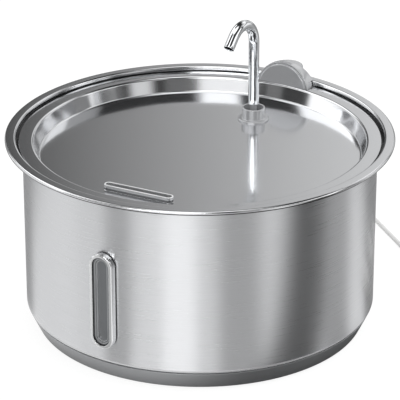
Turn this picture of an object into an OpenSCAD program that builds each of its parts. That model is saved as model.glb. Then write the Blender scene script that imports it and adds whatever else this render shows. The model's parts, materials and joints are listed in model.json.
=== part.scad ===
// Pet water fountain: a steel bowl with a steel tray and a bent faucet, fed by a pump in a
// filter canister. Origin on the bowl's axis at the table. Front (level window) is -Y, the
// cord outlet is +Y, +Z is up. Millimetres.

/* [Bowl] */
// Outside diameter of the bowl's wall
bowl_d = 209.6; // [200:0.2:225]
// Height of the flange's top above the table
bowl_h = 118; // [108:0.5:135]
// Thickness of the bowl's and the tray's steel sheet
sheet_t = 0.8; // [0.6:0.1:1]
// How far the flange stands out past the wall
flange_out = 10.2; // [9.4:0.1:13]
// Outside height of the rolled edge of the flange
hem_h = 2.5; // [2.3:0.1:3.2]
// Depth of the tray's ledge below the flange's top
ledge_drop = 3.7; // [3.2:0.1:5.5]
// Width of the ledge from the wall's inside
ledge_w = 4.6; // [4:0.1:5.6]
// How far the bowl's foot steps in where it sits in the base
foot_step = 3.2; // [2.8:0.1:4.5]

/* [Base] */
// Height of the base's top edge above the table
base_h = 11.8; // [10.5:0.1:16]
// How far the base's top edge lies inside the bowl's wall
base_in = 0.9; // [0.5:0.1:1.2]
// How far the base's outside runs in towards the table
base_taper = 5.3; // [2:0.1:6.4]
// Thickness of the base's floor plate
base_plate_t = 1.8; // [1.2:0.1:2.6]
// Height of the seat ring that carries the bowl
seat_h = 2; // [1.4:0.1:2.8]
// Width of the seat ring under the bowl's foot
seat_w = 8.5; // [8:0.5:40]
// Thickness of the non-slip mat
mat_t = 2.2; // [1.4:0.1:3]
// How far the mat stands out below the base
mat_proud = 0.6; // [0.4:0.1:1]
// How far the mat's edge lies inside the bowl's foot
mat_in = 9.6; // [8.4:0.1:20]

/* [Level window] */
// Width of the clear moulding
window_w = 15.5; // [14.5:0.1:20]
// Height of the clear moulding
window_h = 59.5; // [46:0.5:66]
// Lowest point of the moulding above the table
window_low = 22.5; // [20:0.5:30]
// How far its face stands out past the wall
window_out = 4.2; // [3.4:0.1:6]
// Width of the raised rim round the recessed face
window_rim = 2.3; // [1.8:0.1:3]
// Depth of each step of the recessed face
window_step = 0.6; // [0.4:0.1:0.8]
// Thickness of the gasket between the moulding and the wall
gasket_t = 0.6; // [0.4:0.1:1]
// Thickness of the inner clamp frame at its middle
clamp_t = 4.4; // [3.8:0.1:6]

/* [Tray] */
// Depth of the dish below its ring
tray_deep = 9.2; // [7:0.1:12]
// Width of the flat ring round the dish
ring_w = 8.55; // [7.6:0.05:10]
// How far the dish's wall runs in towards its floor
dish_taper = 3.15; // [2:0.05:5]
// Gap between the ring and the bowl's riser
tray_gap = 1.7; // [0.6:0.1:2.4]
// Length of the return slot's collar
slot_l = 44; // [30:0.5:56]
// Width of the return slot's collar
slot_w = 5.6; // [5:0.1:9]
// Height of the return slot's collar above the dish floor
slot_h = 3.3; // [1.5:0.1:5]
// Wall of the return slot's collar
slot_wall = 1; // [0.8:0.1:1.2]
// Distance of the return slot from the dish floor's front edge
slot_in = 22.2; // [16:0.1:45]
// Offset of the return slot to the right
slot_x = 3.4; // [-8:0.1:8]
// Angle of the return slot to the X axis, degrees
slot_turn = 4; // [-10:0.5:10]

/* [Collar] */
// Outside diameter of the grey collar
collar_d = 14.1; // [13.4:0.1:18]
// Diameter of the collar's flange on the dish floor
collar_flange_d = 19; // [18.6:0.1:24]
// Thickness of the collar's flange
collar_flange_t = 1.1; // [0.8:0.1:2]
// Height of the collar above the dish floor
collar_h = 7.8; // [5:0.1:9.5]
// Wall of the collar
collar_wall = 1.1; // [0.9:0.1:1.6]
// Height of the nut under the tray
collar_nut_h = 4; // [3:0.1:5]

/* [Faucet] */
// Offset of the faucet's upright to the right of the bowl's axis
faucet_x = 1.6; // [-4:0.1:4]
// Distance of the faucet's upright in front of the back wall
faucet_in = 43.6; // [42.6:0.1:46]
// Outside diameter of the faucet's tube
tube_d = 6.5; // [6.1:0.1:7.4]
// Wall of the faucet's tube
tube_wall = 0.5; // [0.4:0.05:0.6]
// Gap between the collar's rim and the tube's lower end
tube_gap = 2.1; // [0.6:0.1:4]
// Length of the tube's straight upright
upright_l = 39.9; // [26:0.1:70]
// Radius of the spout's bend at the tube's middle
bend_r = 14.5; // [10:0.1:22]
// Angle of the spout's bend, degrees
bend_angle = 134.8; // [90:0.1:170]
// Length of the straight stretch at the spout's mouth
spout_l = 7.5; // [2:0.1:16]
// Diameter of the nipple that carries the faucet
nipple_d = 4; // [3.4:0.1:4.4]
// Length of the nipple inside the tube
nipple_grip = 11; // [6:0.5:18]
// Radial clearance of the faucet's running fits
run_fit = 0.05; // [0.03:0.01:0.08]

/* [Pump] */
// Width of the motor housing
motor_w = 36; // [32:0.5:40]
// Height of the motor housing
motor_h = 34; // [33:0.5:36]
// Diameter of the volute cover
volute_d = 30; // [29:0.5:32]
// Length of the volute cover along the rotor
volute_l = 15; // [14:0.5:16]
// Outside diameter of the upright outlet pipe
outlet_pipe_d = 9.6; // [9:0.1:10.4]
// Diameter of the riser pipe
riser_d = 6; // [5.4:0.1:6.4]
// Clearance between the riser and the outlet pipe
riser_gap = 0.3; // [0.3:0.05:0.5]
// Width of the intake sponge
sponge_w = 42; // [30:0.5:46]
// Diameter of the rotor magnet
rotor_d = 12; // [10:0.5:13]
// Diameter of the impeller's blades
impeller_d = 22.4; // [18:0.2:23.4]
// Number of the impeller's blades
blades = 6; // [4:1:8]
// Diameter of the ceramic shaft
shaft_d = 2.3; // [1.8:0.1:2.6]
// Diameter of the flow dial
dial_d = 25; // [22:0.5:27]

/* [Canister] */
// Outside diameter of the pump's canister
canister_d = 80; // [78:0.5:83]
// Wall of the canister
canister_wall = 2; // [1.6:0.1:2.2]
// Height of the canister's cup
cup_h = 40; // [38:0.5:44]
// Height of the canister's cap
cap_h = 14.2; // [12:0.1:18]
// Thickness of the filter grid
grid_t = 1.8; // [1.4:0.1:2.4]
// Height of the suction cups under the canister
sucker_h = 4; // [3:0.1:6]
// Diameter of the filter cartridge
filter_d = 69; // [60:0.5:69]
// Number of slots in the cap and the grid
grille_slots = 16; // [10:1:20]

/* [Cord outlet] */
// Radius of the outlet's round face
outlet_r = 18.2; // [17.4:0.1:19.5]
// Height of the round face's centre above the table, below the flange's top
outlet_drop = 7; // [6:0.1:9]
// Thickness of the front shell
outlet_front_t = 3.8; // [3.4:0.1:4.1]
// Radius of the round block behind the face
block_r = 9.4; // [7:0.1:11]
// Height of the round block above the flange's top
block_h = 8.1; // [5:0.1:10]
// Depth of the cord block behind the outlet's front, at the flange
block_deep = 6.2; // [4:0.1:7.5]
// Lean of the cord block's back towards the tray, degrees
block_lean = 15.6; // [6:0.2:26]
// Width of the hood outside the wall
hood_w = 30; // [28:0.5:34]
// Height of the hood outside the wall
hood_h = 14.6; // [13.6:0.1:18]
// How far the hood stands out past the wall
hood_out = 9.8; // [9.4:0.1:11]
// Length of the strain relief
relief_l = 20; // [20:0.5:26]

/* [Power cord] */
// Diameter of the power cord
cord_d = 2.8; // [2.6:0.1:3]
// Turns across the coil's width
coil_wide = 4; // [3:1:4]
// Layers of turns in the coil
coil_high = 4; // [3:1:5]
// Diameter at the middle of the coil's turns
coil_d = 33.6; // [28:0.2:34]
// Length of the plug's grip
grip_l = 24; // [20:0.5:28]

/* [Hidden] */
$fn = 96;
big = 400;

STEEL = [0.76, 0.77, 0.78];
CHROME = [0.86, 0.87, 0.88];
GREY = [0.62, 0.63, 0.65];
BASE_GREY = [0.42, 0.42, 0.43];
RUBBER = [0.2, 0.2, 0.21];
CLEAR = [0.8, 0.82, 0.84];
ABS_WHITE = [0.9, 0.9, 0.88];
DARK_ABS = [0.16, 0.16, 0.17];
CORD_WHITE = [0.94, 0.94, 0.93];

// Small gaps
fit_gap = 0.3;       // between pieces that move past each other
seat_gap = 0.1;      // between pieces that are fitted together
cable_gap = 0.6;     // round the pump's cable

// Bowl
bowl_r = bowl_d / 2;
inner_r = bowl_r - sheet_t;
foot_r = bowl_r - foot_step;
flange_r = bowl_r + flange_out;
ledge_z = bowl_h - ledge_drop;
ledge_r = inner_r + ledge_w;
base_plate_z = mat_t + base_plate_t;
floor_z = base_plate_z + seat_h;
water_z = floor_z + sheet_t;
mat_r = foot_r - mat_in;
plate_r = foot_r - seat_w;
shoulder_z = base_h + seat_gap;
bowl_bend = 1;
shoulder_bend = foot_step - bowl_bend - 0.2;
foot_bend = 3.2;

// Tray
ring_z = ledge_z + sheet_t;
ring_r = ledge_r - tray_gap;
dish_r = ring_r - ring_w;
dish_floor_r = dish_r - dish_taper;
dish_z = ring_z - tray_deep;
dish_under_z = dish_z - sheet_t;
dish_slope = atan2(tray_deep, dish_taper);
dish_bend = 1.2;
slot_y = dish_floor_r - slot_in;

// Window, measured along -Y
window_mid_z = window_low + window_h / 2;
window_face = bowl_r + window_out;
window_bevel = 1.2;
plug_w = window_w - 2 * window_rim - 0.8;
plug_h = window_h - 2 * window_rim - 0.8;
plug_end = inner_r - 2.4;
clamp_back = inner_r - clamp_t;
clamp_lap = 1.4;
clamp_edge = 1.5;
clamp_post = 7.5;
window_screw_z = plug_h / 2 - 4;
window_screw_r = 0.9;
recess_steps = 3;
recess_lap = 1.15;

// Collar and faucet
faucet_y = inner_r - faucet_in;
collar_r = collar_d / 2;
collar_top = dish_z + collar_h;
collar_neck_r = collar_r - 0.15;
collar_bore_r = collar_r - collar_wall;
collar_low = dish_under_z - collar_nut_h;
collar_web_z = collar_low + 3;
riser_r = riser_d / 2;
nipple_r = nipple_d / 2;
tube_r = tube_d / 2;
tube_low = collar_top + tube_gap;
nipple_top = tube_low + nipple_grip;

// Canister and pump, with the rotor's axis along Y through the faucet's upright
canister_r = canister_d / 2;
canister_in = canister_r - canister_wall;
canister_low = water_z + sucker_h;
pump_low = canister_low + canister_wall;
cup_top = canister_low + cup_h;
grid_top = cup_top + grid_t;
cap_top = grid_top + cap_h;
filter_h = cap_h - canister_wall - 0.4;
cable_r = cord_d / 2;
cable_y = canister_in - cable_r - fit_gap;
cable_bend = 6;
cable_exit = 11;
notch_w = cord_d + 2 * cable_gap;
notch_y = cable_y - cable_r - cable_gap;
rotor_z = pump_low + motor_h / 2;
volute_r = volute_d / 2;
volute_wall = 1.5;
chamber_r = impeller_d / 2 + 1.2;
motor_y = 7;
motor_plate_t = 1.4;
motor_end = cable_y - cable_bend - fit_gap - motor_plate_t;
volute_y = motor_y - volute_l;
well_r = rotor_d / 2 + 0.6;
well_wall = 1.6;
well_end = motor_end - 3.4;
bush_r = 2.9;
bush_l = 2.6;
inlet_r = 5.5;
boss_r = inlet_r + 2;
boss_l = 3.4;
sponge_gap = 3;
shell_t = 2;
stator_gap = 1;
outlet_pipe_r = outlet_pipe_d / 2;
outlet_pipe_top = cap_top + 3.2;
riser_low = outlet_pipe_top - 10;

// Cord outlet, measured along +Y
outlet_z = bowl_h - outlet_drop;
outlet_face = dish_r + sheet_t / sin(dish_slope) + 0.4;
outlet_back = outlet_face + outlet_front_t;
outlet_low = outlet_z - 9;
outlet_rim = 1.4;
block_y = outlet_back + 2.5;
hood_top = ledge_z - sheet_t - 0.9;
hood_low = hood_top - hood_h;
hood_end = bowl_r + hood_out;
hood_wall = 1.4;
inner_leg_y = inner_r - cable_r - seat_gap;
outer_leg_y = hood_end - hood_wall - cable_r - 0.4;
u_turn_r = (outer_leg_y - inner_leg_y) / 2;
u_turn_z = hood_top - hood_wall - u_turn_r - cable_r - 0.4;
outlet_screw_x = hood_w / 2 - 3.5;
outlet_screw_z = hood_low + 8;
relief_top = hood_low + hood_wall + 1;
relief_end = hood_low - relief_l;
relief_neck_r = 2.2;
clamp_x = 3.6;
clamp_bar_t = 1.5;
clamp_face = outer_leg_y - cable_r - 0.05;
clamp_z = hood_low + 5.4;

// Power cord: its route from the strain relief to the coil, and from the coil to the plug
tie_t = 0.4;
coil_lift = 0.6;
coil_x = 90.9;
coil_y = 149.2;
cord_route = [[0, 111.4, 78], [0, 111.6, 68], [0.4, 112.4, 58], [1.2, 114.2, 48],
              [2.4, 117.2, 38], [3.8, 121.6, 28.6], [5.6, 127.4, 19.8], [7.6, 134.6, 12.2],
              [9.8, 142.8, 6.4], [12, 151.6, 2.8], [14, 160.6, 1.4], [15.3, 166.3, 1.4],
              [17.4, 170.5, 1.4], [20.8, 173.1, 1.4], [25, 174, 1.4], [28.5, 173.4, 1.4],
              [31.6, 171.6, 1.4], [39.5, 165, 1.4], [47.2, 158.6, 1.4], [54.8, 152.2, 1.4],
              [62.1, 146, 1.4], [70, 139.3, 1.6], [77.4, 133.1, 2]];
tail_route = [[90.9, 129.6, 10.4], [96, 129.5, 10.4], [101.4, 128.4, 9.6], [106, 125.4, 7.6],
              [109.4, 121.2, 5.6], [111.4, 116.8, 4.3], [112, 112, 4]];
plug_x = 112;
plug_y = 112;
plug_z = 4;
tongue_w = 10.8;
tongue_t = 1.8;
tongue_l = 10.6;

function unit(v) = v / norm(v);

// Arc that rounds the corner p between a and b with radius r
function corner(a, p, b, r, n = 6) =
    let (u = unit(a - p), v = unit(b - p), half = acos(u * v) / 2,
         c = p + unit(u + v) * r / sin(half),
         s = p + u * r / tan(half), e = p + v * r / tan(half),
         from = atan2(s[1] - c[1], s[0] - c[0]), to = atan2(e[1] - c[1], e[0] - c[0]),
         turn = (to - from + 540) % 360 - 180)
    [for (i = [0:n]) c + r * [cos(from + turn * i / n), sin(from + turn * i / n)]];

// A path through corner points, each inner corner rounded by its own radius
function rounded(points, radii) =
    [points[0], each [for (i = [1:len(points) - 2])
        each corner(points[i - 1], points[i], points[i + 1], radii[i - 1])], points[len(points) - 1]];

// The path moved sideways by d, with mitred corners
function side_of(path, d) =
    [for (i = [0:len(path) - 1])
        let (a = path[max(i - 1, 0)], p = path[i], b = path[min(i + 1, len(path) - 1)],
             u = i == 0 ? unit(b - p) : unit(p - a), v = i == len(path) - 1 ? u : unit(b - p),
             m = unit(u + v), n = [-m[1], m[0]])
        p + n * d / (m * v)];

function reversed(list) = [for (i = [len(list) - 1:-1:0]) list[i]];

// Turned sheet metal: a path in (radius, height) given the sheet's thickness
module sheet(path, t) {
    rotate_extrude() polygon(concat(side_of(path, t / 2), reversed(side_of(path, -t / 2))));
}

// A point between p1 and p2 on the smooth curve through p0, p1, p2 and p3
function on_curve(p0, p1, p2, p3, t) =
    0.5 * (2 * p1 + (p2 - p0) * t + (2 * p0 - 5 * p1 + 4 * p2 - p3) * t * t
           + (3 * p1 - p0 - 3 * p2 + p3) * t * t * t);

function smooth(points, steps) =
    let (last = len(points) - 1)
    [each [for (i = [0:last - 1], k = [0:steps - 1])
        on_curve(points[max(i - 1, 0)], points[i], points[i + 1], points[min(i + 2, last)], k / steps)],
     points[last]];

// Directions across a path that turn as little as they can from ring to ring
function across(tangents, v, i = 0) =
    let (w = unit(v - (v * tangents[i]) * tangents[i]))
    i == len(tangents) - 1 ? [w] : concat([w], across(tangents, w, i + 1));

// A round cord swept along points, its first ring square to first and its last to last
module cord(points, d, first, last, sides = 8) {
    n = len(points);
    tangents = [for (i = [0:n - 1])
        i == 0 ? unit(first) : i == n - 1 ? unit(last) : unit(points[i + 1] - points[i - 1])];
    side = across(tangents, abs(first[0]) > 0.5 ? [0, 0, 1] : [1, 0, 0]);
    rings = [for (i = [0:n - 1], k = [0:sides - 1])
        let (w = cross(tangents[i], side[i]), a = 360 * k / sides)
        points[i] + d / 2 * (side[i] * cos(a) + w * sin(a))];
    walls = [for (i = [0:n - 2], k = [0:sides - 1])
        let (a = i * sides + k, b = i * sides + (k + 1) % sides)
        each [[a, b + sides, b], [a, a + sides, b + sides]]];
    ends = [[for (k = [0:sides - 1]) k], [for (k = [sides - 1:-1:0]) (n - 1) * sides + k]];
    polyhedron(points = rings, faces = concat(walls, ends), convexity = 8);
}

// Oblong with round ends: w along X, l along Y, from z = 0 to h
module oblong(w, l, h) {
    translate([-w / 2, -(l - w) / 2, 0]) cube([w, l - w, h]);
    for (s = [-1, 1]) translate([0, s * (l - w) / 2, 0]) cylinder(d = w, h = h);
}

// Upright oblong at the level window, from one distance to another in front of the axis
module window_prism(w, l, from, to) {
    translate([0, -from, window_mid_z]) rotate([90, 0, 0]) oblong(w, l, to - from);
}

// Cylinder along Y from y = from to y = to
module along_y(r, from, to, x = 0, z = 0) {
    translate([x, from, z]) rotate([-90, 0, 0]) cylinder(r = r, h = to - from);
}

module ring(r_out, r_in, h) {
    difference() {
        cylinder(r = r_out, h = h);
        translate([0, 0, -1]) cylinder(r = r_in, h = h + 2);
    }
}

module at_faucet(z = 0) {
    translate([faucet_x, faucet_y, z]) children();
}

// Block with rounded upright edges, centred on X and Y
module rounded_block(w, l, h, r) {
    translate([-w / 2, -l / 2 + r, 0]) cube([w, l - 2 * r, h]);
    translate([-w / 2 + r, -l / 2, 0]) cube([w - 2 * r, l, h]);
    for (sx = [-1, 1], sy = [-1, 1])
        translate([sx * (w / 2 - r), sy * (l / 2 - r), 0]) cylinder(r = r, h = h);
}

// Space between two radii about the bowl's axis
module between(r_in, r_out) {
    intersection() {
        children();
        ring(r_out, r_in, big);
    }
}

// ---- Base ----

module base_cup() {
    top_r = bowl_r - base_in;
    low_r = top_r - base_taper;
    recess_r = mat_r + seat_gap;
    outside = corner([recess_r, mat_proud], [low_r, mat_proud], [top_r, base_h - 0.3], 0.8);
    wall_top = [foot_r + seat_gap, base_h - 0.7];
    seat_end = [plate_r + seat_gap, floor_z];
    color(BASE_GREY) rotate_extrude()
        polygon(concat([[seat_end[0], mat_t], [recess_r, mat_t], [recess_r, mat_proud]], outside,
                       [[top_r, base_h - 0.3], [top_r - 0.2, base_h], [wall_top[0] + 0.6, base_h], wall_top],
                       corner(wall_top, [wall_top[0], floor_z], seat_end, foot_bend), [seat_end]));
}

module base_plate() {
    color(BASE_GREY) translate([0, 0, mat_t]) cylinder(r = plate_r, h = base_plate_t);
}

module foot_mat() {
    color(RUBBER) cylinder(r = mat_r, h = mat_t);
}

// ---- Bowl ----

module bowl_sheet() {
    h = sheet_t / 2;
    path = rounded([[0, floor_z + h], [foot_r - h, floor_z + h], [foot_r - h, shoulder_z + h],
                    [bowl_r - h, shoulder_z + h], [bowl_r - h, ledge_z - h],
                    [ledge_r + h, ledge_z - h], [ledge_r + h, bowl_h - h],
                    [flange_r - h, bowl_h - h], [flange_r - h, bowl_h - hem_h + h],
                    [flange_r - hem_h + h, bowl_h - hem_h + h]],
                   [foot_bend, bowl_bend, shoulder_bend, bowl_bend, 0.8, 0.8,
                    (hem_h - sheet_t) / 2 - 0.05, (hem_h - sheet_t) / 2 - 0.05]);
    sheet(path, sheet_t);
}

module bowl_shell() {
    color(STEEL) difference() {
        bowl_sheet();
        window_prism(plug_w + 2 * seat_gap, plug_h + 2 * seat_gap, inner_r - 4, bowl_r + 4);
        cable_window();
        for (s = [-1, 1])
            along_y(1.3, inner_r - 4, bowl_r + 4, s * outlet_screw_x, outlet_screw_z);
    }
}

// Oblong through the wall, lying on its side, for the cable
module cable_window() {
    translate([0, inner_r - 4, u_turn_z + u_turn_r - 1.2]) rotate([-90, 0, 0]) rotate([0, 0, 90])
        oblong(7, 13, 8 + sheet_t);
}

// ---- Level window ----

module window_lens() {
    color(CLEAR) difference() {
        union() {
            difference() {
                union() {
                    window_prism(window_w, window_h, bowl_r - 4, window_face - window_bevel);
                    window_prism(window_w - window_bevel, window_h - window_bevel, bowl_r - 4, window_face);
                }
                cylinder(r = bowl_r + gasket_t, h = big);
            }
            window_prism(plug_w, plug_h, plug_end, bowl_r + gasket_t + 0.5);
        }
        for (i = [0:recess_steps - 1])
            window_prism(window_w - 2 * window_rim - 2 * recess_lap * i,
                         window_h - 2 * window_rim - 2 * recess_lap * i,
                         window_face - (i + 2) * window_step, window_face + 1);
        for (s = [-1, 1])
            along_y(window_screw_r + run_fit, -plug_end - 1, -plug_end + 3, 0,
                    window_mid_z + s * window_screw_z);
        for (s = [-1, 1]) translate([0, -plug_end - 3, window_mid_z + s * window_screw_z])
            rotate([-90, 0, 0]) cylinder(r = window_screw_r + run_fit, h = 4);
    }
}

module window_gasket() {
    color(RUBBER) between(bowl_r, bowl_r + gasket_t) difference() {
        window_prism(window_w - 0.6, window_h - 0.6, bowl_r - 6, bowl_r + 4);
        window_prism(plug_w + 2 * seat_gap, plug_h + 2 * seat_gap, bowl_r - 8, bowl_r + 6);
    }
}

module window_clamp() {
    color(DARK_ABS) difference() {
        intersection() {
            window_prism(plug_w + 2 * clamp_lap, plug_h + 2 * clamp_lap, clamp_back, bowl_r);
            cylinder(r = inner_r - seat_gap, h = big);
        }
        window_prism(plug_w + 2 * seat_gap, plug_h + 2 * seat_gap, plug_end - seat_gap, bowl_r + 1);
        window_prism(plug_w - 2 * clamp_edge, plug_h - 2 * clamp_post, clamp_back - 1, bowl_r);
        for (s = [-1, 1]) translate([0, -bowl_r, window_mid_z + s * window_screw_z])
            rotate([-90, 0, 0]) cylinder(r = window_screw_r + 0.2, h = bowl_r - clamp_back + 2);
    }
}

module window_screws() {
    color(STEEL) for (s = [-1, 1])
        translate([0, -clamp_back, window_mid_z + s * window_screw_z]) {
            rotate([90, 0, 0]) cylinder(r = window_screw_r, h = plug_end - clamp_back + 2.6);
            rotate([-90, 0, 0]) difference() {
                cylinder(r = 1.9, h = 1.2);
                translate([-2, -0.25, 0.6]) cube([4, 0.5, 1]);
            }
        }
}

// ---- Tray ----

module tray() {
    h = sheet_t / 2;
    wall_in = h * tan(dish_slope / 2);
    path = rounded([[0, dish_z - h], [dish_floor_r + wall_in, dish_z - h],
                    [dish_r + wall_in, ring_z - h], [ring_r, ring_z - h]], [dish_bend + h, dish_bend]);
    color(STEEL) difference() {
        union() {
            sheet(path, sheet_t);
            at_slot() oblong(slot_w, slot_l, sheet_t + slot_h);
        }
        translate([0, 0, -1])
            at_slot() oblong(slot_w - 2 * slot_wall, slot_l - 2 * slot_wall, sheet_t + slot_h + 2);
        at_faucet(dish_under_z - 1) cylinder(r = collar_neck_r + seat_gap, h = 4);
        outlet_notch();
    }
}

module at_slot() {
    translate([slot_x, -slot_y, dish_under_z]) rotate([0, 0, 90 + slot_turn]) children();
}

// Part of the ring that is cut away for the cord outlet
module outlet_notch() {
    half = outlet_r + 0.6;
    difference() {
        translate([-half, dish_r - 12, ring_z - 3]) cube([2 * half, 30, 5]);
        cylinder(r = outlet_face - 0.4, h = big);
    }
}

module collar() {
    color(GREY) at_faucet() difference() {
        union() {
            translate([0, 0, dish_z]) cylinder(r = collar_r, h = collar_h);
            translate([0, 0, dish_z]) cylinder(d = collar_flange_d, h = collar_flange_t);
            translate([0, 0, collar_low]) cylinder(r = collar_neck_r, h = dish_z - collar_low + 1);
        }
        translate([0, 0, collar_web_z]) cylinder(r = collar_bore_r, h = big);
        translate([0, 0, collar_low - 1]) cylinder(r = riser_r, h = 6);
    }
}

module collar_nut() {
    color(GREY) at_faucet(collar_low) difference() {
        cylinder(r = collar_r + 3.6, h = collar_nut_h, $fn = 8);
        translate([0, 0, -1]) cylinder(r = collar_neck_r, h = collar_nut_h + 2);
    }
}

module riser_pipe() {
    color(GREY) at_faucet() difference() {
        union() {
            translate([0, 0, riser_low]) cylinder(r = riser_r, h = collar_web_z - riser_low);
            translate([0, 0, collar_web_z - 1]) cylinder(r = nipple_r, h = nipple_top - collar_web_z + 1);
        }
        translate([0, 0, riser_low - 1]) cylinder(r = riser_r - 1, h = collar_web_z - riser_low - 1);
        translate([0, 0, riser_low]) cylinder(r = nipple_r - 0.8, h = big);
    }
}

// ---- Faucet ----

module faucet_sleeve() {
    color(GREY) at_faucet(tube_low)
        ring(tube_r - tube_wall - run_fit, nipple_r + run_fit, nipple_grip - 1);
}

module faucet_tube() {
    bore_r = tube_r - tube_wall;
    color(CHROME) at_faucet(tube_low) {
        ring(tube_r, bore_r, upright_l);
        translate([0, -bend_r, upright_l]) {
            rotate([90, 0, 90]) rotate_extrude(angle = bend_angle) translate([bend_r, 0])
                difference() {
                    circle(r = tube_r);
                    circle(r = bore_r);
                }
            rotate([bend_angle, 0, 0]) translate([0, bend_r, 0]) ring(tube_r, bore_r, spout_l);
        }
    }
}

// ---- Canister ----

module suction_feet() {
    color(CLEAR) for (a = [45:90:315])
        at_faucet(water_z) rotate([0, 0, a]) translate([canister_in - 11, 0, 0])
            rotate_extrude() polygon([[0, 0], [6.8, 0], [6.8, 0.7], [3.6, 0.5 * sucker_h],
                                      [3, sucker_h], [0, sucker_h]]);
}

// Upright notch at the canister's back for the pump's cable
module cable_notch(z, h) {
    at_faucet(z) translate([-notch_w / 2, notch_y, 0]) cube([notch_w, 20, h]);
}

module canister_cup() {
    color(ABS_WHITE) at_faucet(canister_low) difference() {
        cylinder(r = canister_r, h = cup_h);
        translate([0, 0, canister_wall]) cylinder(r = canister_in, h = cup_h);
    }
}

// Radial slots between two radii
module grille(r_in, r_out, w, h) {
    for (i = [0:grille_slots - 1]) rotate([0, 0, (i + 0.5) * 360 / grille_slots])
        translate([r_in, -w / 2, -1]) cube([r_out - r_in, w, h + 2]);
}

module filter_grid() {
    color(ABS_WHITE) difference() {
        union() {
            at_faucet(cup_top) cylinder(r = canister_r, h = grid_t);
            at_faucet(cup_top - 1.6) ring(canister_in - seat_gap, canister_in - 1.6, 2);
        }
        at_faucet(cup_top - 1) cylinder(r = outlet_pipe_r + cable_gap, h = grid_t + 2);
        at_faucet(cup_top) grille(11, canister_in - 6, 2.6, grid_t);
        cable_notch(cup_top - 3, grid_t + 6);
    }
}

module filter_cartridge() {
    color("white") at_faucet(grid_top) ring(filter_d / 2, outlet_pipe_r + 2.2, filter_h);
}

module canister_cap() {
    color(ABS_WHITE) difference() {
        at_faucet(grid_top) difference() {
            cylinder(r = canister_r, h = cap_h);
            translate([0, 0, -1]) cylinder(r = canister_in, h = cap_h - canister_wall + 1);
            translate([0, 0, -1]) cylinder(r = outlet_pipe_r + 0.8, h = cap_h + 2);
            translate([0, 0, cap_h - canister_wall]) grille(11, canister_in - 6, 2.6, canister_wall);
        }
        cable_notch(grid_top - 1, cap_h + 2);
    }
}

// ---- Pump ----

module at_rotor() {
    translate([faucet_x, faucet_y, rotor_z]) children();
}

module pump_motor() {
    depth = motor_end - motor_y;
    color(DARK_ABS) at_rotor() difference() {
        translate([0, motor_y, 0]) rotate([-90, 0, 0]) rounded_block(motor_w, motor_h, depth, 4);
        along_y(well_r, motor_y - 1, well_end);
        along_y(bush_r, motor_y, well_end + bush_l);
        difference() {
            translate([-motor_w / 2 + shell_t, motor_y + 2 * shell_t, -motor_h / 2 + shell_t])
                cube([motor_w - 2 * shell_t, depth, motor_h - 2 * shell_t]);
            along_y(well_r + well_wall, motor_y, motor_end + 1);
        }
    }
}

module motor_plate() {
    color(DARK_ABS) at_rotor() difference() {
        translate([0, motor_end, 0]) rotate([-90, 0, 0]) rounded_block(motor_w, motor_h, motor_plate_t, 4);
        along_y(cable_r + seat_gap, motor_end - 1, motor_end + 3, 0, cable_exit);
    }
}

module pump_stator() {
    inset = shell_t + stator_gap;
    front = motor_y + 2 * shell_t + stator_gap;
    color("darkgoldenrod") at_rotor() difference() {
        translate([-motor_w / 2 + inset, front, -motor_h / 2 + inset])
            cube([motor_w - 2 * inset, motor_end - 3 * stator_gap - front, motor_h - 2 * inset]);
        along_y(well_r + well_wall + 0.2, motor_y, motor_end + 1);
    }
}

module volute_cover() {
    color(ABS_WHITE) at_rotor() difference() {
        union() {
            along_y(volute_r, volute_y, motor_y);
            along_y(boss_r, volute_y - boss_l, volute_y + 1);
            cylinder(r = outlet_pipe_r, h = outlet_pipe_top - rotor_z);
        }
        along_y(chamber_r, volute_y + volute_wall, motor_y + 1);
        difference() {
            along_y(inlet_r, volute_y - boss_l - 1, volute_y + 4);
            for (a = [0:120:240]) rotate([0, a, 0]) translate([0, volute_y, -0.8]) cube([inlet_r + 1, 2.6, 1.6]);
            along_y(bush_r + 0.9, volute_y, volute_y + bush_l + 0.4);
        }
        along_y(bush_r, volute_y - 1, volute_y + bush_l + 0.4);
        difference() {
            along_y(volute_r - 1, motor_y - 0.9, motor_y + 1);
            along_y(volute_r - 2.2, motor_y - 2, motor_y + 2);
        }
        cylinder(r = riser_r - 0.6, h = big);
        translate([0, 0, riser_low - rotor_z - 0.5]) cylinder(r = riser_r + riser_gap, h = big);
    }
}

module pump_seal() {
    color("firebrick") at_rotor() difference() {
        along_y(volute_r - 1.05, motor_y - 0.85, motor_y - 0.02);
        along_y(volute_r - 2.15, motor_y - 2, motor_y + 2);
    }
}

module rotor() {
    color([0.25, 0.25, 0.28]) at_rotor() difference() {
        union() {
            along_y(rotor_d / 2, motor_y + 0.8, well_end - 0.8);
            along_y(3.2, volute_y + bush_l + 0.9, motor_y + 1.2);
            along_y(impeller_d / 2, motor_y - 2.4, motor_y - 1.2);
            for (i = [0:blades - 1]) rotate([0, i * 360 / blades, 0])
                translate([2.6, volute_y + bush_l + 1.6, -0.6])
                    cube([impeller_d / 2 - 2.6, motor_y - 1.4 - volute_y - bush_l - 1.6, 1.2]);
        }
        along_y(shaft_d / 2 + run_fit, volute_y - 5, motor_end + 5);
    }
}

module rotor_shaft() {
    color("white") at_rotor() along_y(shaft_d / 2, volute_y + 0.4, well_end + bush_l - 0.3);
}

module shaft_bushes() {
    color(RUBBER) at_rotor() difference() {
        union() {
            along_y(bush_r - 0.02, volute_y + 0.2, volute_y + bush_l + 0.4);
            along_y(bush_r - 0.02, well_end, well_end + bush_l - 0.1);
        }
        along_y(shaft_d / 2, volute_y - 1, well_end + bush_l);
    }
}

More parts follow.
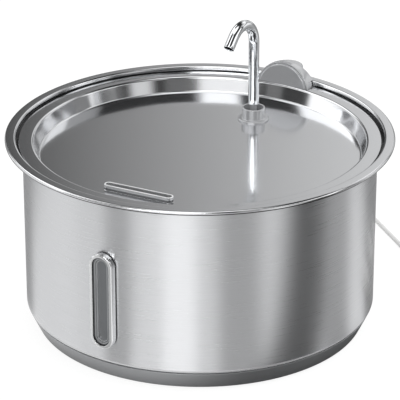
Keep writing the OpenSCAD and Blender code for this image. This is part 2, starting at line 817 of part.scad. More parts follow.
module flow_dial() {
    front = volute_y - boss_l - 1.6;
    color([0.3, 0.45, 0.6]) at_rotor() difference() {
        union() {
            along_y(dial_d / 2, front, volute_y - 0.4);
            translate([-1.6, front, dial_d / 2 - 1]) cube([3.2, volute_y - 0.4 - front, 4]);
        }
        along_y(boss_r + run_fit, front + 1.3, volute_y + 1);
        for (a = [30:120:270]) rotate([0, a, 0]) along_y(1.9, front - 1, front + 3, 3.4, 0);
    }
}

module intake_sponge() {
    color("dimgray") at_faucet(pump_low) intersection() {
        translate([-sponge_w / 2, -canister_in, 0])
            cube([sponge_w, canister_in + volute_y - boss_l - sponge_gap, motor_h]);
        cylinder(r = canister_in - 0.4, h = big);
    }
}

// ---- Cord outlet ----

// The round face's outline, run through the wall and cut level below
module outlet_disc(r) {
    intersection() {
        along_y(r, outlet_face - 8, outlet_back + 8, 0, outlet_z);
        translate([-big / 2, 0, outlet_low]) cube([big, big, big]);
    }
}

module outlet_front() {
    shell = 1.3;
    color(GREY) difference() {
        union() {
            difference() {
                union() {
                    between(outlet_face, outlet_back) outlet_disc(outlet_r - outlet_rim);
                    between(outlet_face + 1.1, outlet_back) outlet_disc(outlet_r);
                }
                between(outlet_face + shell, outlet_back + 1)
                    along_y(outlet_r - outlet_rim - shell, outlet_face - 8, outlet_back + 8, 0, outlet_z);
            }
            between(outlet_face + 1, inner_r - seat_gap) for (s = [-1, 1])
                along_y(2.4, outlet_face - 4, inner_r + 1, s * outlet_screw_x, outlet_screw_z);
        }
        for (s = [-1, 1])
            along_y(0.95, outlet_face + 0.2, inner_r + 1, s * outlet_screw_x, outlet_screw_z);
    }
}

module outlet_block() {
    block_back = ledge_r - 0.6;
    block_low = bowl_h + seat_gap;
    color(GREY) difference() {
        union() {
            intersection() {
                between(outlet_back, block_back) outlet_disc(outlet_r - 0.6);
                translate([-big / 2, 0, ledge_z]) cube([big, block_back, block_low + 0.4 - ledge_z]);
            }
            translate([0, block_y, block_low]) cylinder(r = block_r, h = block_h - seat_gap);
            intersection() {
                outlet_disc(outlet_r - 0.6);
                translate([-big / 2, 0, block_low]) cube([big, big, big]);
                translate([-big / 2, outlet_back + block_deep, block_low]) rotate([block_lean, 0, 0])
                    translate([0, -big, -big / 2]) cube([big, big, big]);
            }
        }
        cylinder(r = outlet_back, h = big);
    }
}

module outlet_hood() {
    inside = hood_wall;
    depth = hood_end - bowl_r;
    color(GREY) difference() {
        union() {
            difference() {
                hood_body(hood_w, hood_low, hood_h, hood_end, 4);
                difference() {
                    hood_body(hood_w - 2 * inside, hood_low + inside, hood_h - 2 * inside, hood_end - inside, 3);
                    for (s = [-1, 1])
                        along_y(2.6, bowl_r - 2, hood_end, s * outlet_screw_x, outlet_screw_z);
                    for (s = [-1, 1])
                        along_y(1.7, outer_leg_y - cable_r, hood_end, s * clamp_x, clamp_z);
                    translate([-1.7, outer_leg_y + cable_r, clamp_z - 2]) cube([3.4, depth, 4]);
                }
            }
        }
        cylinder(r = bowl_r + seat_gap, h = big);
        for (s = [-1, 1]) {
            along_y(1.3, bowl_r - 2, hood_end + 1, s * outlet_screw_x, outlet_screw_z);
            along_y(2.3, hood_end - 1.6, hood_end + 1, s * outlet_screw_x, outlet_screw_z);
            along_y(0.75, outer_leg_y - cable_r - 1, outer_leg_y + 2, s * clamp_x, clamp_z);
        }
        translate([0, outer_leg_y, hood_low - 1]) cylinder(r = relief_neck_r + seat_gap, h = 4);
    }
}

// Solid of the hood from the wall to one distance behind the axis
module hood_body(w, low, h, end, r) {
    translate([0, 0, low]) {
        translate([-w / 2, bowl_r - 4, 0]) cube([w, end - r - bowl_r + 4, h]);
        translate([-w / 2 + r, bowl_r - 4, 0]) cube([w - 2 * r, end - bowl_r + 4, h]);
        for (s = [-1, 1]) translate([s * (w / 2 - r), end - r, 0]) cylinder(r = r, h = h);
    }
}

module outlet_screws() {
    color(STEEL) for (s = [-1, 1]) difference() {
        union() {
            along_y(0.9, outlet_face + 2, hood_end - 1.5, s * outlet_screw_x, outlet_screw_z);
            along_y(2.1, hood_end - 1.5, hood_end - 0.3, s * outlet_screw_x, outlet_screw_z);
        }
        translate([s * outlet_screw_x - 2, hood_end - 0.8, outlet_screw_z - 0.25]) cube([4, 1, 0.5]);
    }
}

module cord_clamp() {
    color(DARK_ABS) difference() {
        translate([-clamp_x - 1.8, clamp_face - clamp_bar_t, clamp_z - 1.6])
            cube([2 * clamp_x + 3.6, clamp_bar_t, 3.2]);
        for (s = [-1, 1]) along_y(0.85, clamp_face - 2, clamp_face + 1, s * clamp_x, clamp_z);
    }
}

module clamp_screws() {
    head = clamp_face - clamp_bar_t;
    color(STEEL) for (s = [-1, 1]) {
        along_y(0.7, head - 0.2, head + 4, s * clamp_x, clamp_z);
        along_y(1.3, head - 0.8, head, s * clamp_x, clamp_z);
    }
}

module pump_cable() {
    x = faucet_x;
    exit_z = rotor_z + cable_exit;
    upright_y = faucet_y + cable_y;
    low_turn = [for (i = [0:6]) let (a = 90 * i / 6)
        [x, upright_y - cable_bend + cable_bend * sin(a), exit_z + cable_bend * (1 - cos(a))]];
    u_turn = [for (i = [0:10]) let (a = 180 - 180 * i / 10)
        [0, inner_leg_y + u_turn_r + u_turn_r * cos(a), u_turn_z + u_turn_r * sin(a)]];
    top = cap_top + 20;
    rise = smooth([[x, upright_y, cap_top], [x, upright_y, top - 2],
                   [x / 2, (upright_y + inner_leg_y) / 2, (top + u_turn_z) / 2 - 3],
                   [0, inner_leg_y - 0.2, u_turn_z - 8], [0, inner_leg_y, u_turn_z - 2]], 3);
    points = concat([[x, faucet_y + motor_end - 2, exit_z]], low_turn, rise, u_turn,
                    [[0, outer_leg_y, relief_top]]);
    color(CORD_WHITE) cord(points, cord_d, [0, 1, 0], [0, 0, -1]);
}

module strain_relief() {
    color(CORD_WHITE) translate([0, outer_leg_y, 0]) {
        translate([0, 0, relief_end]) cylinder(r1 = cable_r + 0.4, r2 = 3.5, h = relief_l - seat_gap);
        translate([0, 0, hood_low - 1]) cylinder(r = relief_neck_r, h = relief_top - hood_low + 1);
        intersection() {
            translate([0, 0, hood_low + hood_wall + seat_gap]) cylinder(r = 3.6, h = 0.9);
            translate([-5, -5, 0]) cube([10, 5 + hood_end - hood_wall - 0.2 - outer_leg_y, big]);
        }
    }
}

// ---- Power cord ----

module power_cord() {
    color(CORD_WHITE) cord(smooth(cord_route, 3), cord_d, [0, 0, -1], [0.77, -0.64, 0]);
}

module cord_coil() {
    wide = coil_wide * cord_d;
    high = coil_high * cord_d;
    color(CORD_WHITE) translate([coil_x, coil_y, coil_lift])
        rotate_extrude() polygon(rounded_box(coil_d / 2 - wide / 2, coil_d / 2 + wide / 2, 0, high));
}

// Corner points of a box in a section, its corners rounded by half a cord
function rounded_box(x0, x1, y0, y1) =
    let (r = cord_d / 2,
         centres = [[x1 - r, y1 - r], [x0 + r, y1 - r], [x0 + r, y0 + r], [x1 - r, y0 + r]])
    [for (q = [0:3], i = [0:4]) let (a = 90 * q + 90 * i / 4) centres[q] + r * [cos(a), sin(a)]];

module cord_tie() {
    wide = coil_wide * cord_d + 0.1;
    high = coil_high * cord_d + 0.1;
    color(DARK_ABS) translate([coil_x, coil_y, coil_lift - 0.05]) rotate([0, 0, 60])
        rotate_extrude(angle = 26) translate([coil_d / 2 - wide / 2, 0]) difference() {
            translate([-tie_t, -tie_t]) square([wide + 2 * tie_t, high + 2 * tie_t]);
            square([wide, high]);
        }
}

module plug_tail() {
    color(CORD_WHITE) cord(smooth(tail_route, 2), cord_d, [1, 0, 0], [0, -1, 0]);
}

module at_plug() {
    translate([plug_x, plug_y, plug_z]) rotate([90, 0, 0]) children();
}

module plug_grip() {
    neck = 9;
    color(CORD_WHITE) at_plug() {
        cylinder(r1 = cable_r + 0.5, r2 = 3.4, h = neck);
        translate([0, 0, neck]) rounded_block(15.6, 7.8, grip_l - neck, 2);
    }
}

module plug_shell() {
    color(STEEL) at_plug() translate([0, 0, grip_l]) difference() {
        translate([-6, -2.25, 0]) cube([12, 4.5, 12]);
        translate([-5.7, -1.95, 0.5]) cube([11.4, 3.9, 14]);
    }
}

module plug_tongue() {
    color("white") at_plug() translate([-tongue_w / 2, 0, grip_l + 0.5]) cube([tongue_w, tongue_t, tongue_l]);
}

base_cup();
base_plate();
foot_mat();
bowl_shell();
window_lens();
window_gasket();
window_clamp();
window_screws();
tray();
collar();
collar_nut();
riser_pipe();
faucet_sleeve();
faucet_tube();
suction_feet();
canister_cup();
filter_grid();
filter_cartridge();
canister_cap();
pump_motor();
motor_plate();
pump_stator();
volute_cover();
pump_seal();
rotor();
rotor_shaft();
shaft_bushes();
flow_dial();
intake_sponge();
outlet_front();
outlet_block();
outlet_hood();
outlet_screws();
cord_clamp();
clamp_screws();
pump_cable();
strain_relief();
power_cord();
cord_coil();
cord_tie();
plug_tail();
plug_grip();
plug_shell();
plug_tongue();
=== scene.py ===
"""Dressed model of a steel pet water fountain.

Lengths in the classes are millimetres in the part's own frame: the bowl's axis at the
table is the origin, -Y is the front with the level window, +Y the back with the cord.
"""
from __future__ import annotations

import json
import logging
import math
from dataclasses import dataclass
from enum import Enum
from typing import Any, Callable, ClassVar, Sequence

import bmesh
import bpy
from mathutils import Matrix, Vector

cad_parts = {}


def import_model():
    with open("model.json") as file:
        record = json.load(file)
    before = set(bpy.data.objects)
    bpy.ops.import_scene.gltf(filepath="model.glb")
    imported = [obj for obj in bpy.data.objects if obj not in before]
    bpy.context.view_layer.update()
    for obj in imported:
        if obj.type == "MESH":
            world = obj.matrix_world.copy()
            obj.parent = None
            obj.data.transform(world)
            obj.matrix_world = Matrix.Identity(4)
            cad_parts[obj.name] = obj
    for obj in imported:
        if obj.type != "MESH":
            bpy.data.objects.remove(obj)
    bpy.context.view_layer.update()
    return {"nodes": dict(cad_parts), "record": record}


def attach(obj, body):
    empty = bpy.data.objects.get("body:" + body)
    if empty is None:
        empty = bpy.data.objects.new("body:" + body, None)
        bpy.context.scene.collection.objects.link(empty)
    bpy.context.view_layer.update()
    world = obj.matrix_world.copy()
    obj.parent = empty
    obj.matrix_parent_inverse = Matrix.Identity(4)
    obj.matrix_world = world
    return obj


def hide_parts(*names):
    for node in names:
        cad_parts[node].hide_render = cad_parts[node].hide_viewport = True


LOG = logging.getLogger("fountain")
MM = 0.001
SHARP = 32.0                 # degrees above which an edge stays sharp
FADE = "SMOOTHSTEP"          # how the edges of the studio's cards fade
Flat = tuple[float, float]
Place = tuple[float, float, float]
Ring = list[Vector]
Links = dict[Any, Any] | Sequence[Any]
Zone = Callable[[Vector, Vector], int]


# ---------------------------------------------------------------- curves and outlines


def arc(r: float, first: float, last: float, steps: int) -> list[Flat]:
    """Points on a circle about the origin from one angle in radians to another."""
    angles = [first + (last - first) * i / steps for i in range(steps + 1)]
    return [(r * math.cos(t), r * math.sin(t)) for t in angles]


def spaced(first: float, last: float, steps: int) -> list[float]:
    """Values between two ends, both left out."""
    return [first + (last - first) * i / steps for i in range(1, steps)]


def corner(before: Sequence[float], at: Sequence[float], after: Sequence[float], radius: float,
           steps: int = 8) -> Ring:
    """Round a corner.

    Args:
        before: Point before the corner.
        at: The corner.
        after: Point after the corner.
        radius: Radius of the rounding.
        steps: Number of chords in the arc.

    Returns:
        Points of the arc.
    """
    a, p, b = Vector(before), Vector(at), Vector(after)
    u, v = (a - p).normalized(), (b - p).normalized()
    half = math.acos(max(-1.0, min(1.0, u.dot(v)))) / 2
    centre = p + (u + v).normalized() * radius / math.sin(half)
    start, end = p + u * radius / math.tan(half), p + v * radius / math.tan(half)
    first = math.atan2(start.y - centre.y, start.x - centre.x)
    last = math.atan2(end.y - centre.y, end.x - centre.x)
    turn = (last - first + 3 * math.pi) % (2 * math.pi) - math.pi
    return [centre + Vector(q) for q in arc(radius, first, first + turn, steps)]


def rounded(points: Sequence[Flat], radii: Sequence[float], steps: int = 8) -> Ring:
    """Round the inner corners of an open path.

    Args:
        points: Corner points of the path.
        radii: One radius for each corner between the ends.
        steps: Number of chords in each arc.

    Returns:
        The rounded path.
    """
    path = [Vector(points[0])]
    for before, at, after, radius in zip(points, points[1:], points[2:], radii):
        path += corner(before, at, after, radius, steps)
    return path + [Vector(points[-1])]


def side_of(path: Sequence[Vector], distance: float) -> Ring:
    """Move a path sideways with mitred corners.

    Args:
        path: The path to move.
        distance: Distance to the left of its direction.

    Returns:
        The moved path.
    """
    moved = []
    for i, p in enumerate(path):
        u = (p - path[i - 1]).normalized() if i else (path[1] - p).normalized()
        v = (path[i + 1] - p).normalized() if i < len(path) - 1 else u
        m = (u + v).normalized()
        moved.append(p + Vector((-m.y, m.x)) * distance / m.dot(v))
    return moved


def divided(path: Sequence[Vector], longest: float) -> Ring:
    """Divide the long stretches of a path.

    Args:
        path: The path.
        longest: Greatest length of a stretch.

    Returns:
        The path with points added.
    """
    points = [path[0]]
    for a, b in zip(path, path[1:]):
        count = max(1, math.ceil((b - a).length / longest))
        points += [a.lerp(b, i / count) for i in range(1, count + 1)]
    return points


def stadium(width: float, length: float, steps: int = 24) -> Ring:
    """Outline of an oblong with round ends.

    Args:
        width: Width along the first axis.
        length: Length along the second axis.
        steps: Number of chords round each end.

    Returns:
        Points of the closed outline, counter-clockwise.
    """
    r, half = width / 2, (length - width) / 2
    return [Vector((x, y + s * half)) for s, first in ((1, 0.0), (-1, math.pi))
            for x, y in arc(r, first, first + math.pi, steps)]


def block(width: float, height: float, r: float) -> Ring:
    """Outline of a rectangle with round corners.

    Args:
        width: Width along the first axis.
        height: Height along the second axis.
        r: Radius of the corners.

    Returns:
        Points of the closed outline, counter-clockwise.
    """
    return [Vector((sx * (width / 2 - r) + x, sy * (height / 2 - r) + y))
            for q, (sx, sy) in enumerate(((1, 1), (-1, 1), (-1, -1), (1, -1)))
            for x, y in arc(r, math.pi / 2 * q, math.pi / 2 * (q + 1), 6)]


def standing(outline: Sequence[Sequence[float]], middle: Flat, y: float) -> Ring:
    """Set an outline upright across Y, about a point in X and Z."""
    return [Vector((middle[0] + p[0], y, middle[1] + p[1])) for p in outline]


def lying(outline: Sequence[Sequence[float]], middle: Flat, z: float) -> Ring:
    """Lay an outline level at a height, about a point in X and Y."""
    return [Vector((middle[0] + p[0], middle[1] + p[1], z)) for p in outline]


def smooth_curve(points: Sequence[Place], steps: int = 5) -> Ring:
    """Smooth curve through points, as the part's own cord is drawn.

    Args:
        points: Points on the curve.
        steps: Number of chords between two points.

    Returns:
        Points of the curve.
    """
    p = [Vector(q) for q in points]
    last, curve = len(p) - 1, []
    for i in range(last):
        p0, p1, p2, p3 = p[max(i - 1, 0)], p[i], p[i + 1], p[min(i + 2, last)]
        for k in range(steps):
            t = k / steps
            curve.append(0.5 * (2 * p1 + (p2 - p0) * t + (2 * p0 - 5 * p1 + 4 * p2 - p3) * t * t
                                + (3 * p1 - p0 - 3 * p2 + p3) * t ** 3))
    return curve + [p[last]]


def fillet(start: Flat, end: Flat, turn_out: bool, steps: int = 5) -> list[Flat]:
    """Quarter round between two points whose sides are parallel to the axes.

    Args:
        start: First point.
        end: Last point.
        turn_out: True where the first value changes late, False where it changes first.
        steps: Number of chords.

    Returns:
        Points from start to end.
    """
    points = []
    for c, s in arc(1.0, 0.0, math.pi / 2, steps):
        f, g = (1 - c, s) if turn_out else (s, 1 - c)
        points.append((start[0] + (end[0] - start[0]) * f, start[1] + (end[1] - start[1]) * g))
    return points


# ---------------------------------------------------------------- meshes


def linked(name: str, data: Any) -> bpy.types.Object:
    """Put data into the scene as an object.

    Args:
        name: Name of the object.
        data: Its mesh, curve, camera or light.

    Returns:
        The new object.
    """
    obj = bpy.data.objects.new(name, data)
    bpy.context.scene.collection.objects.link(obj)
    return obj


def mesh_object(name: str, verts: Sequence[Sequence[float]], faces: Sequence[Sequence[int]],
                sharp: float = SHARP) -> bpy.types.Object:
    """Make a smooth-shaded object from points in millimetres.

    Args:
        name: Name of the object.
        verts: Points in millimetres.
        faces: Point numbers of each face.
        sharp: Angle in degrees above which an edge stays sharp.

    Returns:
        The new object.
    """
    mesh = bpy.data.meshes.new(name)
    mesh.from_pydata([Vector(v) * MM for v in verts], [], faces)
    bm = bmesh.new()
    bm.from_mesh(mesh)
    bmesh.ops.remove_doubles(bm, verts=bm.verts, dist=1e-6)
    bmesh.ops.recalc_face_normals(bm, faces=bm.faces)
    bm.to_mesh(mesh)
    bm.free()
    mesh.shade_smooth()
    mesh.set_sharp_from_angle(angle=math.radians(sharp))
    return linked(name, mesh)


def revolve(name: str, section: Sequence[Sequence[float]], axis: Flat = (0.0, 0.0),
            sides: int = 192) -> bpy.types.Object:
    """Turn a closed section of (radius, height) points about an upright axis.

    Args:
        name: Name of the object.
        section: Points of the section.
        axis: Where the axis stands.
        sides: Number of sides round the axis.

    Returns:
        The turned object.
    """
    verts, faces, count = [], [], len(section)
    for i in range(sides):
        t = 2 * math.pi * i / sides
        verts += [(axis[0] + r * math.cos(t), axis[1] + r * math.sin(t), z) for r, z in section]
        a, b = i * count, ((i + 1) % sides) * count
        for k in range(count):
            n = (k + 1) % count
            if section[k][0] > 1e-6 or section[n][0] > 1e-6:
                faces.append([a + k, b + k, b + n, a + n])
    return mesh_object(name, verts, faces)


def loft(name: str, rings: Sequence[Sequence[Vector]], caps: bool = True, wrap: bool = False,
         sharp: float = SHARP) -> bpy.types.Object:
    """Join closed rings of equal point counts into one skin.

    Args:
        name: Name of the object.
        rings: The rings, in order.
        caps: Whether the first and last rings are filled.
        wrap: Whether the last ring joins the first.
        sharp: Angle in degrees above which an edge stays sharp.

    Returns:
        The skinned object.
    """
    count = len(rings[0])
    verts = [v for ring in rings for v in ring]
    faces: list[list[int]] = []
    for r in range(len(rings) if wrap else len(rings) - 1):
        a, b = r * count, ((r + 1) % len(rings)) * count
        faces += [[a + k, a + (k + 1) % count, b + (k + 1) % count, b + k] for k in range(count)]
    if caps and not wrap:
        faces += [list(range(count))[::-1], [(len(rings) - 1) * count + k for k in range(count)]]
    return mesh_object(name, verts, faces, sharp)


def cut(obj: bpy.types.Object, *cutters: bpy.types.Object) -> None:
    """Cut holes in a piece.

    Args:
        obj: The piece.
        cutters: Solids to take away, which are deleted.
    """
    for cutter in cutters:
        modifier = obj.modifiers.new("hole", "BOOLEAN")
        modifier.operation, modifier.solver, modifier.object = "DIFFERENCE", "EXACT", cutter
        depsgraph = bpy.context.evaluated_depsgraph_get()
        mesh = bpy.data.meshes.new_from_object(obj.evaluated_get(depsgraph))
        obj.modifiers.clear()
        old, obj.data = obj.data, mesh
        bpy.data.meshes.remove(old)
        bpy.data.objects.remove(cutter)
    obj.data.set_sharp_from_angle(angle=math.radians(SHARP))


def weighted(obj: bpy.types.Object) -> bpy.types.Object:
    """Let the large faces of a piece set its shading normals.

    Args:
        obj: The piece.

    Returns:
        The same piece.
    """
    modifier = obj.modifiers.new("normals", "WEIGHTED_NORMAL")
    modifier.keep_sharp, modifier.weight = True, 80
    return obj


def joined(name: str, *parts: bpy.types.Object) -> bpy.types.Object:
    """Join meshes into one piece.

    Args:
        name: Name of the piece.
        parts: Objects to join; they are deleted.

    Returns:
        The joined piece.
    """
    bm = bmesh.new()
    for part in parts:
        bm.from_mesh(part.data)
        bpy.data.objects.remove(part)
    mesh = bpy.data.meshes.new(name)
    bm.to_mesh(mesh)
    bm.free()
    return linked(name, mesh)


# ---------------------------------------------------------------- finishes


def linear(colour: str) -> tuple[float, float, float, float]:
    """Turn an sRGB hex colour into linear values.

    Args:
        colour: Colour as RRGGBB.

    Returns:
        Red, green, blue and a full alpha.
    """
    values = [int(colour[i:i + 2], 16) / 255 for i in (0, 2, 4)]
    r, g, b = (v / 12.92 if v <= 0.04045 else ((v + 0.055) / 1.055) ** 2.4 for v in values)
    return r, g, b, 1.0


def blank(owner: bpy.types.Material | bpy.types.World) -> bpy.types.NodeTree:
    """Give a material or world a node tree with nothing in it.

    Args:
        owner: The material or world.

    Returns:
        Its node tree.
    """
    owner.use_nodes = True
    owner.node_tree.nodes.clear()
    return owner.node_tree


def wire(tree: bpy.types.NodeTree, node: bpy.types.Node, links: Links) -> None:
    """Set or link inputs of a node.

    Args:
        tree: The node's tree.
        node: The node.
        links: Inputs by name or number, or in order from the first. Each has a value, an
            output socket, or a node, which stands for its first output.
    """
    for key, value in links.items() if isinstance(links, dict) else enumerate(links):
        if isinstance(value, bpy.types.Node):
            value = value.outputs[0]
        if isinstance(value, bpy.types.NodeSocket):
            tree.links.new(value, node.inputs[key])
        else:
            node.inputs[key].default_value = value


def add(tree: bpy.types.NodeTree, kind: str, links: Links = (), **settings: Any) -> bpy.types.Node:
    """Add a node with its settings and links.

    Args:
        tree: Tree that the node goes into.
        kind: Type of the node, without the ShaderNode prefix.
        links: Its inputs, as wire() takes them.
        settings: Properties of the node.

    Returns:
        The new node.
    """
    node = tree.nodes.new("ShaderNode" + kind)
    for key, value in settings.items():
        setattr(node, key, value)
    wire(tree, node, links)
    return node


@dataclass(frozen=True)
class Finish:
    """A surface finish: one Principled shader and the pattern that its subclass draws."""

    name: str
    colour: str
    roughness: float
    metallic: float = 0.0
    ior: float = 1.5

    def build(self) -> bpy.types.Material:
        """Make the material.

        Returns:
            The material.
        """
        material = bpy.data.materials.new(self.name)
        tree = blank(material)
        shader = add(tree, "BsdfPrincipled", {
            "Base Color": linear(self.colour), "Roughness": self.roughness,
            "Metallic": self.metallic, "IOR": self.ior})
        add(tree, "OutputMaterial", (shader,))
        self.pattern(tree, shader, add(tree, "TexCoord").outputs["Object"])
        return material

    def pattern(self, tree: bpy.types.NodeTree, shader: bpy.types.Node,
                place: bpy.types.NodeSocket) -> None:
        """Draw the surface's pattern; a plain finish has a faint cloud of wear.

        Args:
            tree: The material's nodes.
            shader: Its Principled shader.
            place: Point on the piece.
        """
        self.cloud(tree, shader, place, 12.0, 0.03, 0.05)

    def cloud(self, tree: bpy.types.NodeTree, shader: bpy.types.Node,
              place: bpy.types.NodeSocket, size: float, tone: float, gloss: float) -> None:
        """Vary the colour and the roughness in soft clouds.

        Args:
            tree: The material's nodes.
            shader: Its Principled shader.
            place: Point on the piece.
            size: Size of a cloud in millimetres.
            tone: How far the colour varies, 0 to 1.
            gloss: How far the roughness varies.
        """
        noise = add(tree, "TexNoise", {"Vector": place, "Scale": 1 / (size * MM), "Detail": 3.0,
                                       "Roughness": 0.6})
        self.mark(tree, shader, noise, tone=(1 - tone, 1 + tone), gloss=gloss)

    def mark(self, tree: bpy.types.NodeTree, shader: bpy.types.Node,
             height: bpy.types.Node | bpy.types.NodeSocket, span: Flat = (0.3, 0.7),
             tone: Flat | None = None, gloss: float = 0.0, bump: float = 0.0,
             deep: float = 0.1) -> None:
        """Let one value of a pattern set the surface's tone, gloss and height.

        Args:
            tree: The material's nodes.
            shader: Its Principled shader.
            height: Node or socket that gives the value.
            span: Lowest and highest value.
            tone: What the colour is multiplied by at the two.
            gloss: How far the roughness varies between them.
            bump: Strength of the relief.
            deep: Its depth in millimetres.
        """
        if tone:
            shade = add(tree, "MapRange", (height, *span, *tone))
            wire(tree, shader, {"Base Color": add(
                tree, "MixRGB", (1.0, linear(self.colour), shade), blend_type="MULTIPLY")})
        if gloss:
            wire(tree, shader, {"Roughness": add(tree, "MapRange", (
                height, *span, self.roughness - gloss, self.roughness + gloss))})
        if bump:
            wire(tree, shader, {"Normal": add(tree, "Bump", {
                "Height": height, "Strength": bump, "Distance": deep * MM})})


@dataclass(frozen=True)
class BrushedSteel(Finish):
    """Stainless steel turned against an abrasive belt, so fine lines run round the axis.

    The lines spread a reflection across themselves and leave thin light and dark streaks.
    """

    line: float = 0.4        # width of one group of lines, mm; single lines are too fine to show
    run: float = 34.0        # length of a streak, mm
    anisotropy: float = 0.0
    tone: float = 0.05
    gloss: float = 0.06
    bump: float = 0.02
    rings: bool = False      # True where the lines lie as rings on a level face

    def pattern(self, tree: bpy.types.NodeTree, shader: bpy.types.Node,
                place: bpy.types.NodeSocket) -> None:
        """Draw the lines as streaks of tone, gloss and height.

        Args:
            tree: The material's nodes.
            shader: Its Principled shader.
            place: Point on the piece.
        """
        if self.anisotropy:
            wire(tree, shader, {"Anisotropic": self.anisotropy, "Anisotropic Rotation": 0.25,
                                "Tangent": add(tree, "Tangent", direction_type="RADIAL", axis="Z")})
        if self.rings:
            part = add(tree, "SeparateXYZ", (place,))
            flat = add(tree, "CombineXYZ", (part.outputs[0], part.outputs[1]))
            radius = add(tree, "VectorMath", (flat,), operation="LENGTH").outputs["Value"]
            turn = add(tree, "VectorMath", (flat,), operation="NORMALIZE")
            xy = add(tree, "SeparateXYZ", (add(tree, "VectorMath", (turn, (0.06, 0.06, 0.0)),
                                               operation="MULTIPLY"),))
            place = add(tree, "CombineXYZ", (xy.outputs[0], xy.outputs[1], radius)).outputs[0]
        coarse, fine = 1 / (self.run * MM), 1 / (self.line * MM)
        mapped = add(tree, "Mapping", {"Vector": place, "Scale": (coarse, coarse, fine)})
        streak = add(tree, "TexNoise", {"Vector": mapped, "Scale": 1.0, "Detail": 4.0,
                                        "Roughness": 0.65})
        self.mark(tree, shader, streak, tone=(1 - self.tone, 1 + self.tone), gloss=self.gloss,
                  bump=self.bump, deep=0.2)


@dataclass(frozen=True)
class MouldedPlastic(Finish):
    """Injection-moulded plastic from a spark-eroded tool: a fine even grain, soft gloss."""

    grain: float = 0.35      # mm
    bump: float = 0.08

    def pattern(self, tree: bpy.types.NodeTree, shader: bpy.types.Node,
                place: bpy.types.NodeSocket) -> None:
        """Draw the grain of the tool and a faint cloud of handling.

        Args:
            tree: The material's nodes.
            shader: Its Principled shader.
            place: Point on the piece.
        """
        self.cloud(tree, shader, place, 9.0, 0.02, 0.04)
        grain = add(tree, "TexNoise", {"Vector": place, "Scale": 1 / (self.grain * MM),
                                       "Detail": 2.0})
        self.mark(tree, shader, grain, bump=self.bump, deep=0.1)


@dataclass(frozen=True)
class ClearPlastic(Finish):
    """Clear moulded plastic or silicone: polished faces and a faint grey in its depth."""

    transmission: float = 1.0

    def pattern(self, tree: bpy.types.NodeTree, shader: bpy.types.Node,
                place: bpy.types.NodeSocket) -> None:
        """Let light through, with the faint waviness of a moulded face.

        Args:
            tree: The material's nodes.
            shader: Its Principled shader.
            place: Point on the piece.
        """
        wire(tree, shader, {"Transmission Weight": self.transmission})
        wave = add(tree, "TexNoise", {"Vector": place, "Scale": 1 / (7 * MM), "Detail": 1.0})
        self.mark(tree, shader, wave, bump=0.05, deep=0.3)


@dataclass(frozen=True)
class SoftFibre(Finish):
    """Needled wadding or open foam: matt, with tufts and pits."""

    cell: float = 0.9        # mm

    def pattern(self, tree: bpy.types.NodeTree, shader: bpy.types.Node,
                place: bpy.types.NodeSocket) -> None:
        """Draw the cells or fibres as pits of height, with painted shade that darkens the pits.

        Args:
            tree: The material's nodes.
            shader: Its Principled shader.
            place: Point on the piece.
        """
        wire(tree, shader, {"Sheen Weight": 0.3})
        cells = add(tree, "TexVoronoi", {"Vector": place, "Scale": 1 / (self.cell * MM)})
        self.mark(tree, shader, cells.outputs["Distance"], span=(0.0, 0.7), tone=(0.55, 1.1),
                  bump=0.8, deep=0.6)


STEEL = "DCDDDF"


class Slot(Enum):
    """Material slots of the part's record, each with its finish."""

    # polished: wide soft reflections with no lines
    BOWL_STEEL = BrushedSteel("steel_polished_inside", "D4D5D7", 0.16, 1.0, tone=0.02, gloss=0.03,
                              bump=0.01)
    # satin: level faces mirror the room a little blurred, with hardly any streaks
    TRAY_STEEL = BrushedSteel("steel_satin_tray", STEEL, 0.13, 1.0, run=20.0, rings=True,
                              tone=0.012, gloss=0.012, bump=0.0)
    # plated over a polished tube: a sharp mirror
    FAUCET_CHROME = Finish("chrome_plating", "E8EAEC", 0.04, 1.0)
    # ABS with a metallic paint: mid grey with a soft shine
    GREY_PLASTIC = MouldedPlastic("abs_satin_grey", "BFC0C2", 0.16, 0.4, bump=0.02)
    BASE_PLASTIC = MouldedPlastic("abs_metallised_grey", "9A9B9D", 0.34, 0.75)
    # soft rubber: dark and dry
    MAT_RUBBER = MouldedPlastic("rubber_mat", "3B3B3D", 0.75, bump=0.2)
    SEAL_RUBBER = Finish("nitrile_rubber", "252527", 0.6)
    # polished styrene-acrylonitrile over steel: bright glints at its bends
    WINDOW_CLEAR = ClearPlastic("san_clear", "F2F3F4", 0.03, 0.8, ior=1.57)
    # silicone: a waxy blurred shine
    SLEEVE_SILICONE = Finish("silicone_grey", "8E9094", 0.45, ior=1.41)
    SUCTION_SILICONE = ClearPlastic("silicone_clear", "DADDE0", 0.25, ior=1.41, transmission=0.6)
    # gloss ABS: white or blue with clear highlights
    CANISTER_PLASTIC = Finish("abs_gloss_white", "E9E9E5", 0.22)
    DIAL_PLASTIC = Finish("abs_gloss_blue", "5A7FA8", 0.25)
    # spark-eroded nylon: black and flat
    DARK_PLASTIC = MouldedPlastic("nylon_black", "2A2A2C", 0.5)
    # wadding and foam: no shine at all, only pits
    FILTER_MEDIA = SoftFibre("wadding_white", "EDEDE8", 0.9)
    SPONGE = SoftFibre("foam_charcoal", "3A3D42", 0.95, cell=1.4)
    # pressed ferrite: dull and dark; poured resin: a glassy amber
    ROTOR_MAGNET = Finish("ferrite_moulded", "4A4A50", 0.5)
    STATOR_RESIN = Finish("epoxy_amber", "8A6420", 0.3)
    # glazed alumina: white and smooth
    CERAMIC = Finish("alumina_glazed", "F0F0EC", 0.18, ior=1.7)
    # cold-rolled, or plated with nickel: small bright spots with a soft edge
    SCREW_STEEL = Finish("steel_rolled", "BFC0C2", 0.3, 1.0)
    PLUG_STEEL = Finish("nickel_plating", "C8C6C0", 0.2, 1.0)
    # extruded PVC: an even satin jacket
    CORD_WHITE = Finish("pvc_satin_white", "F6F6F5", 0.35)
    TIE_BLACK = Finish("vinyl_black", "1E1E1E", 0.4)


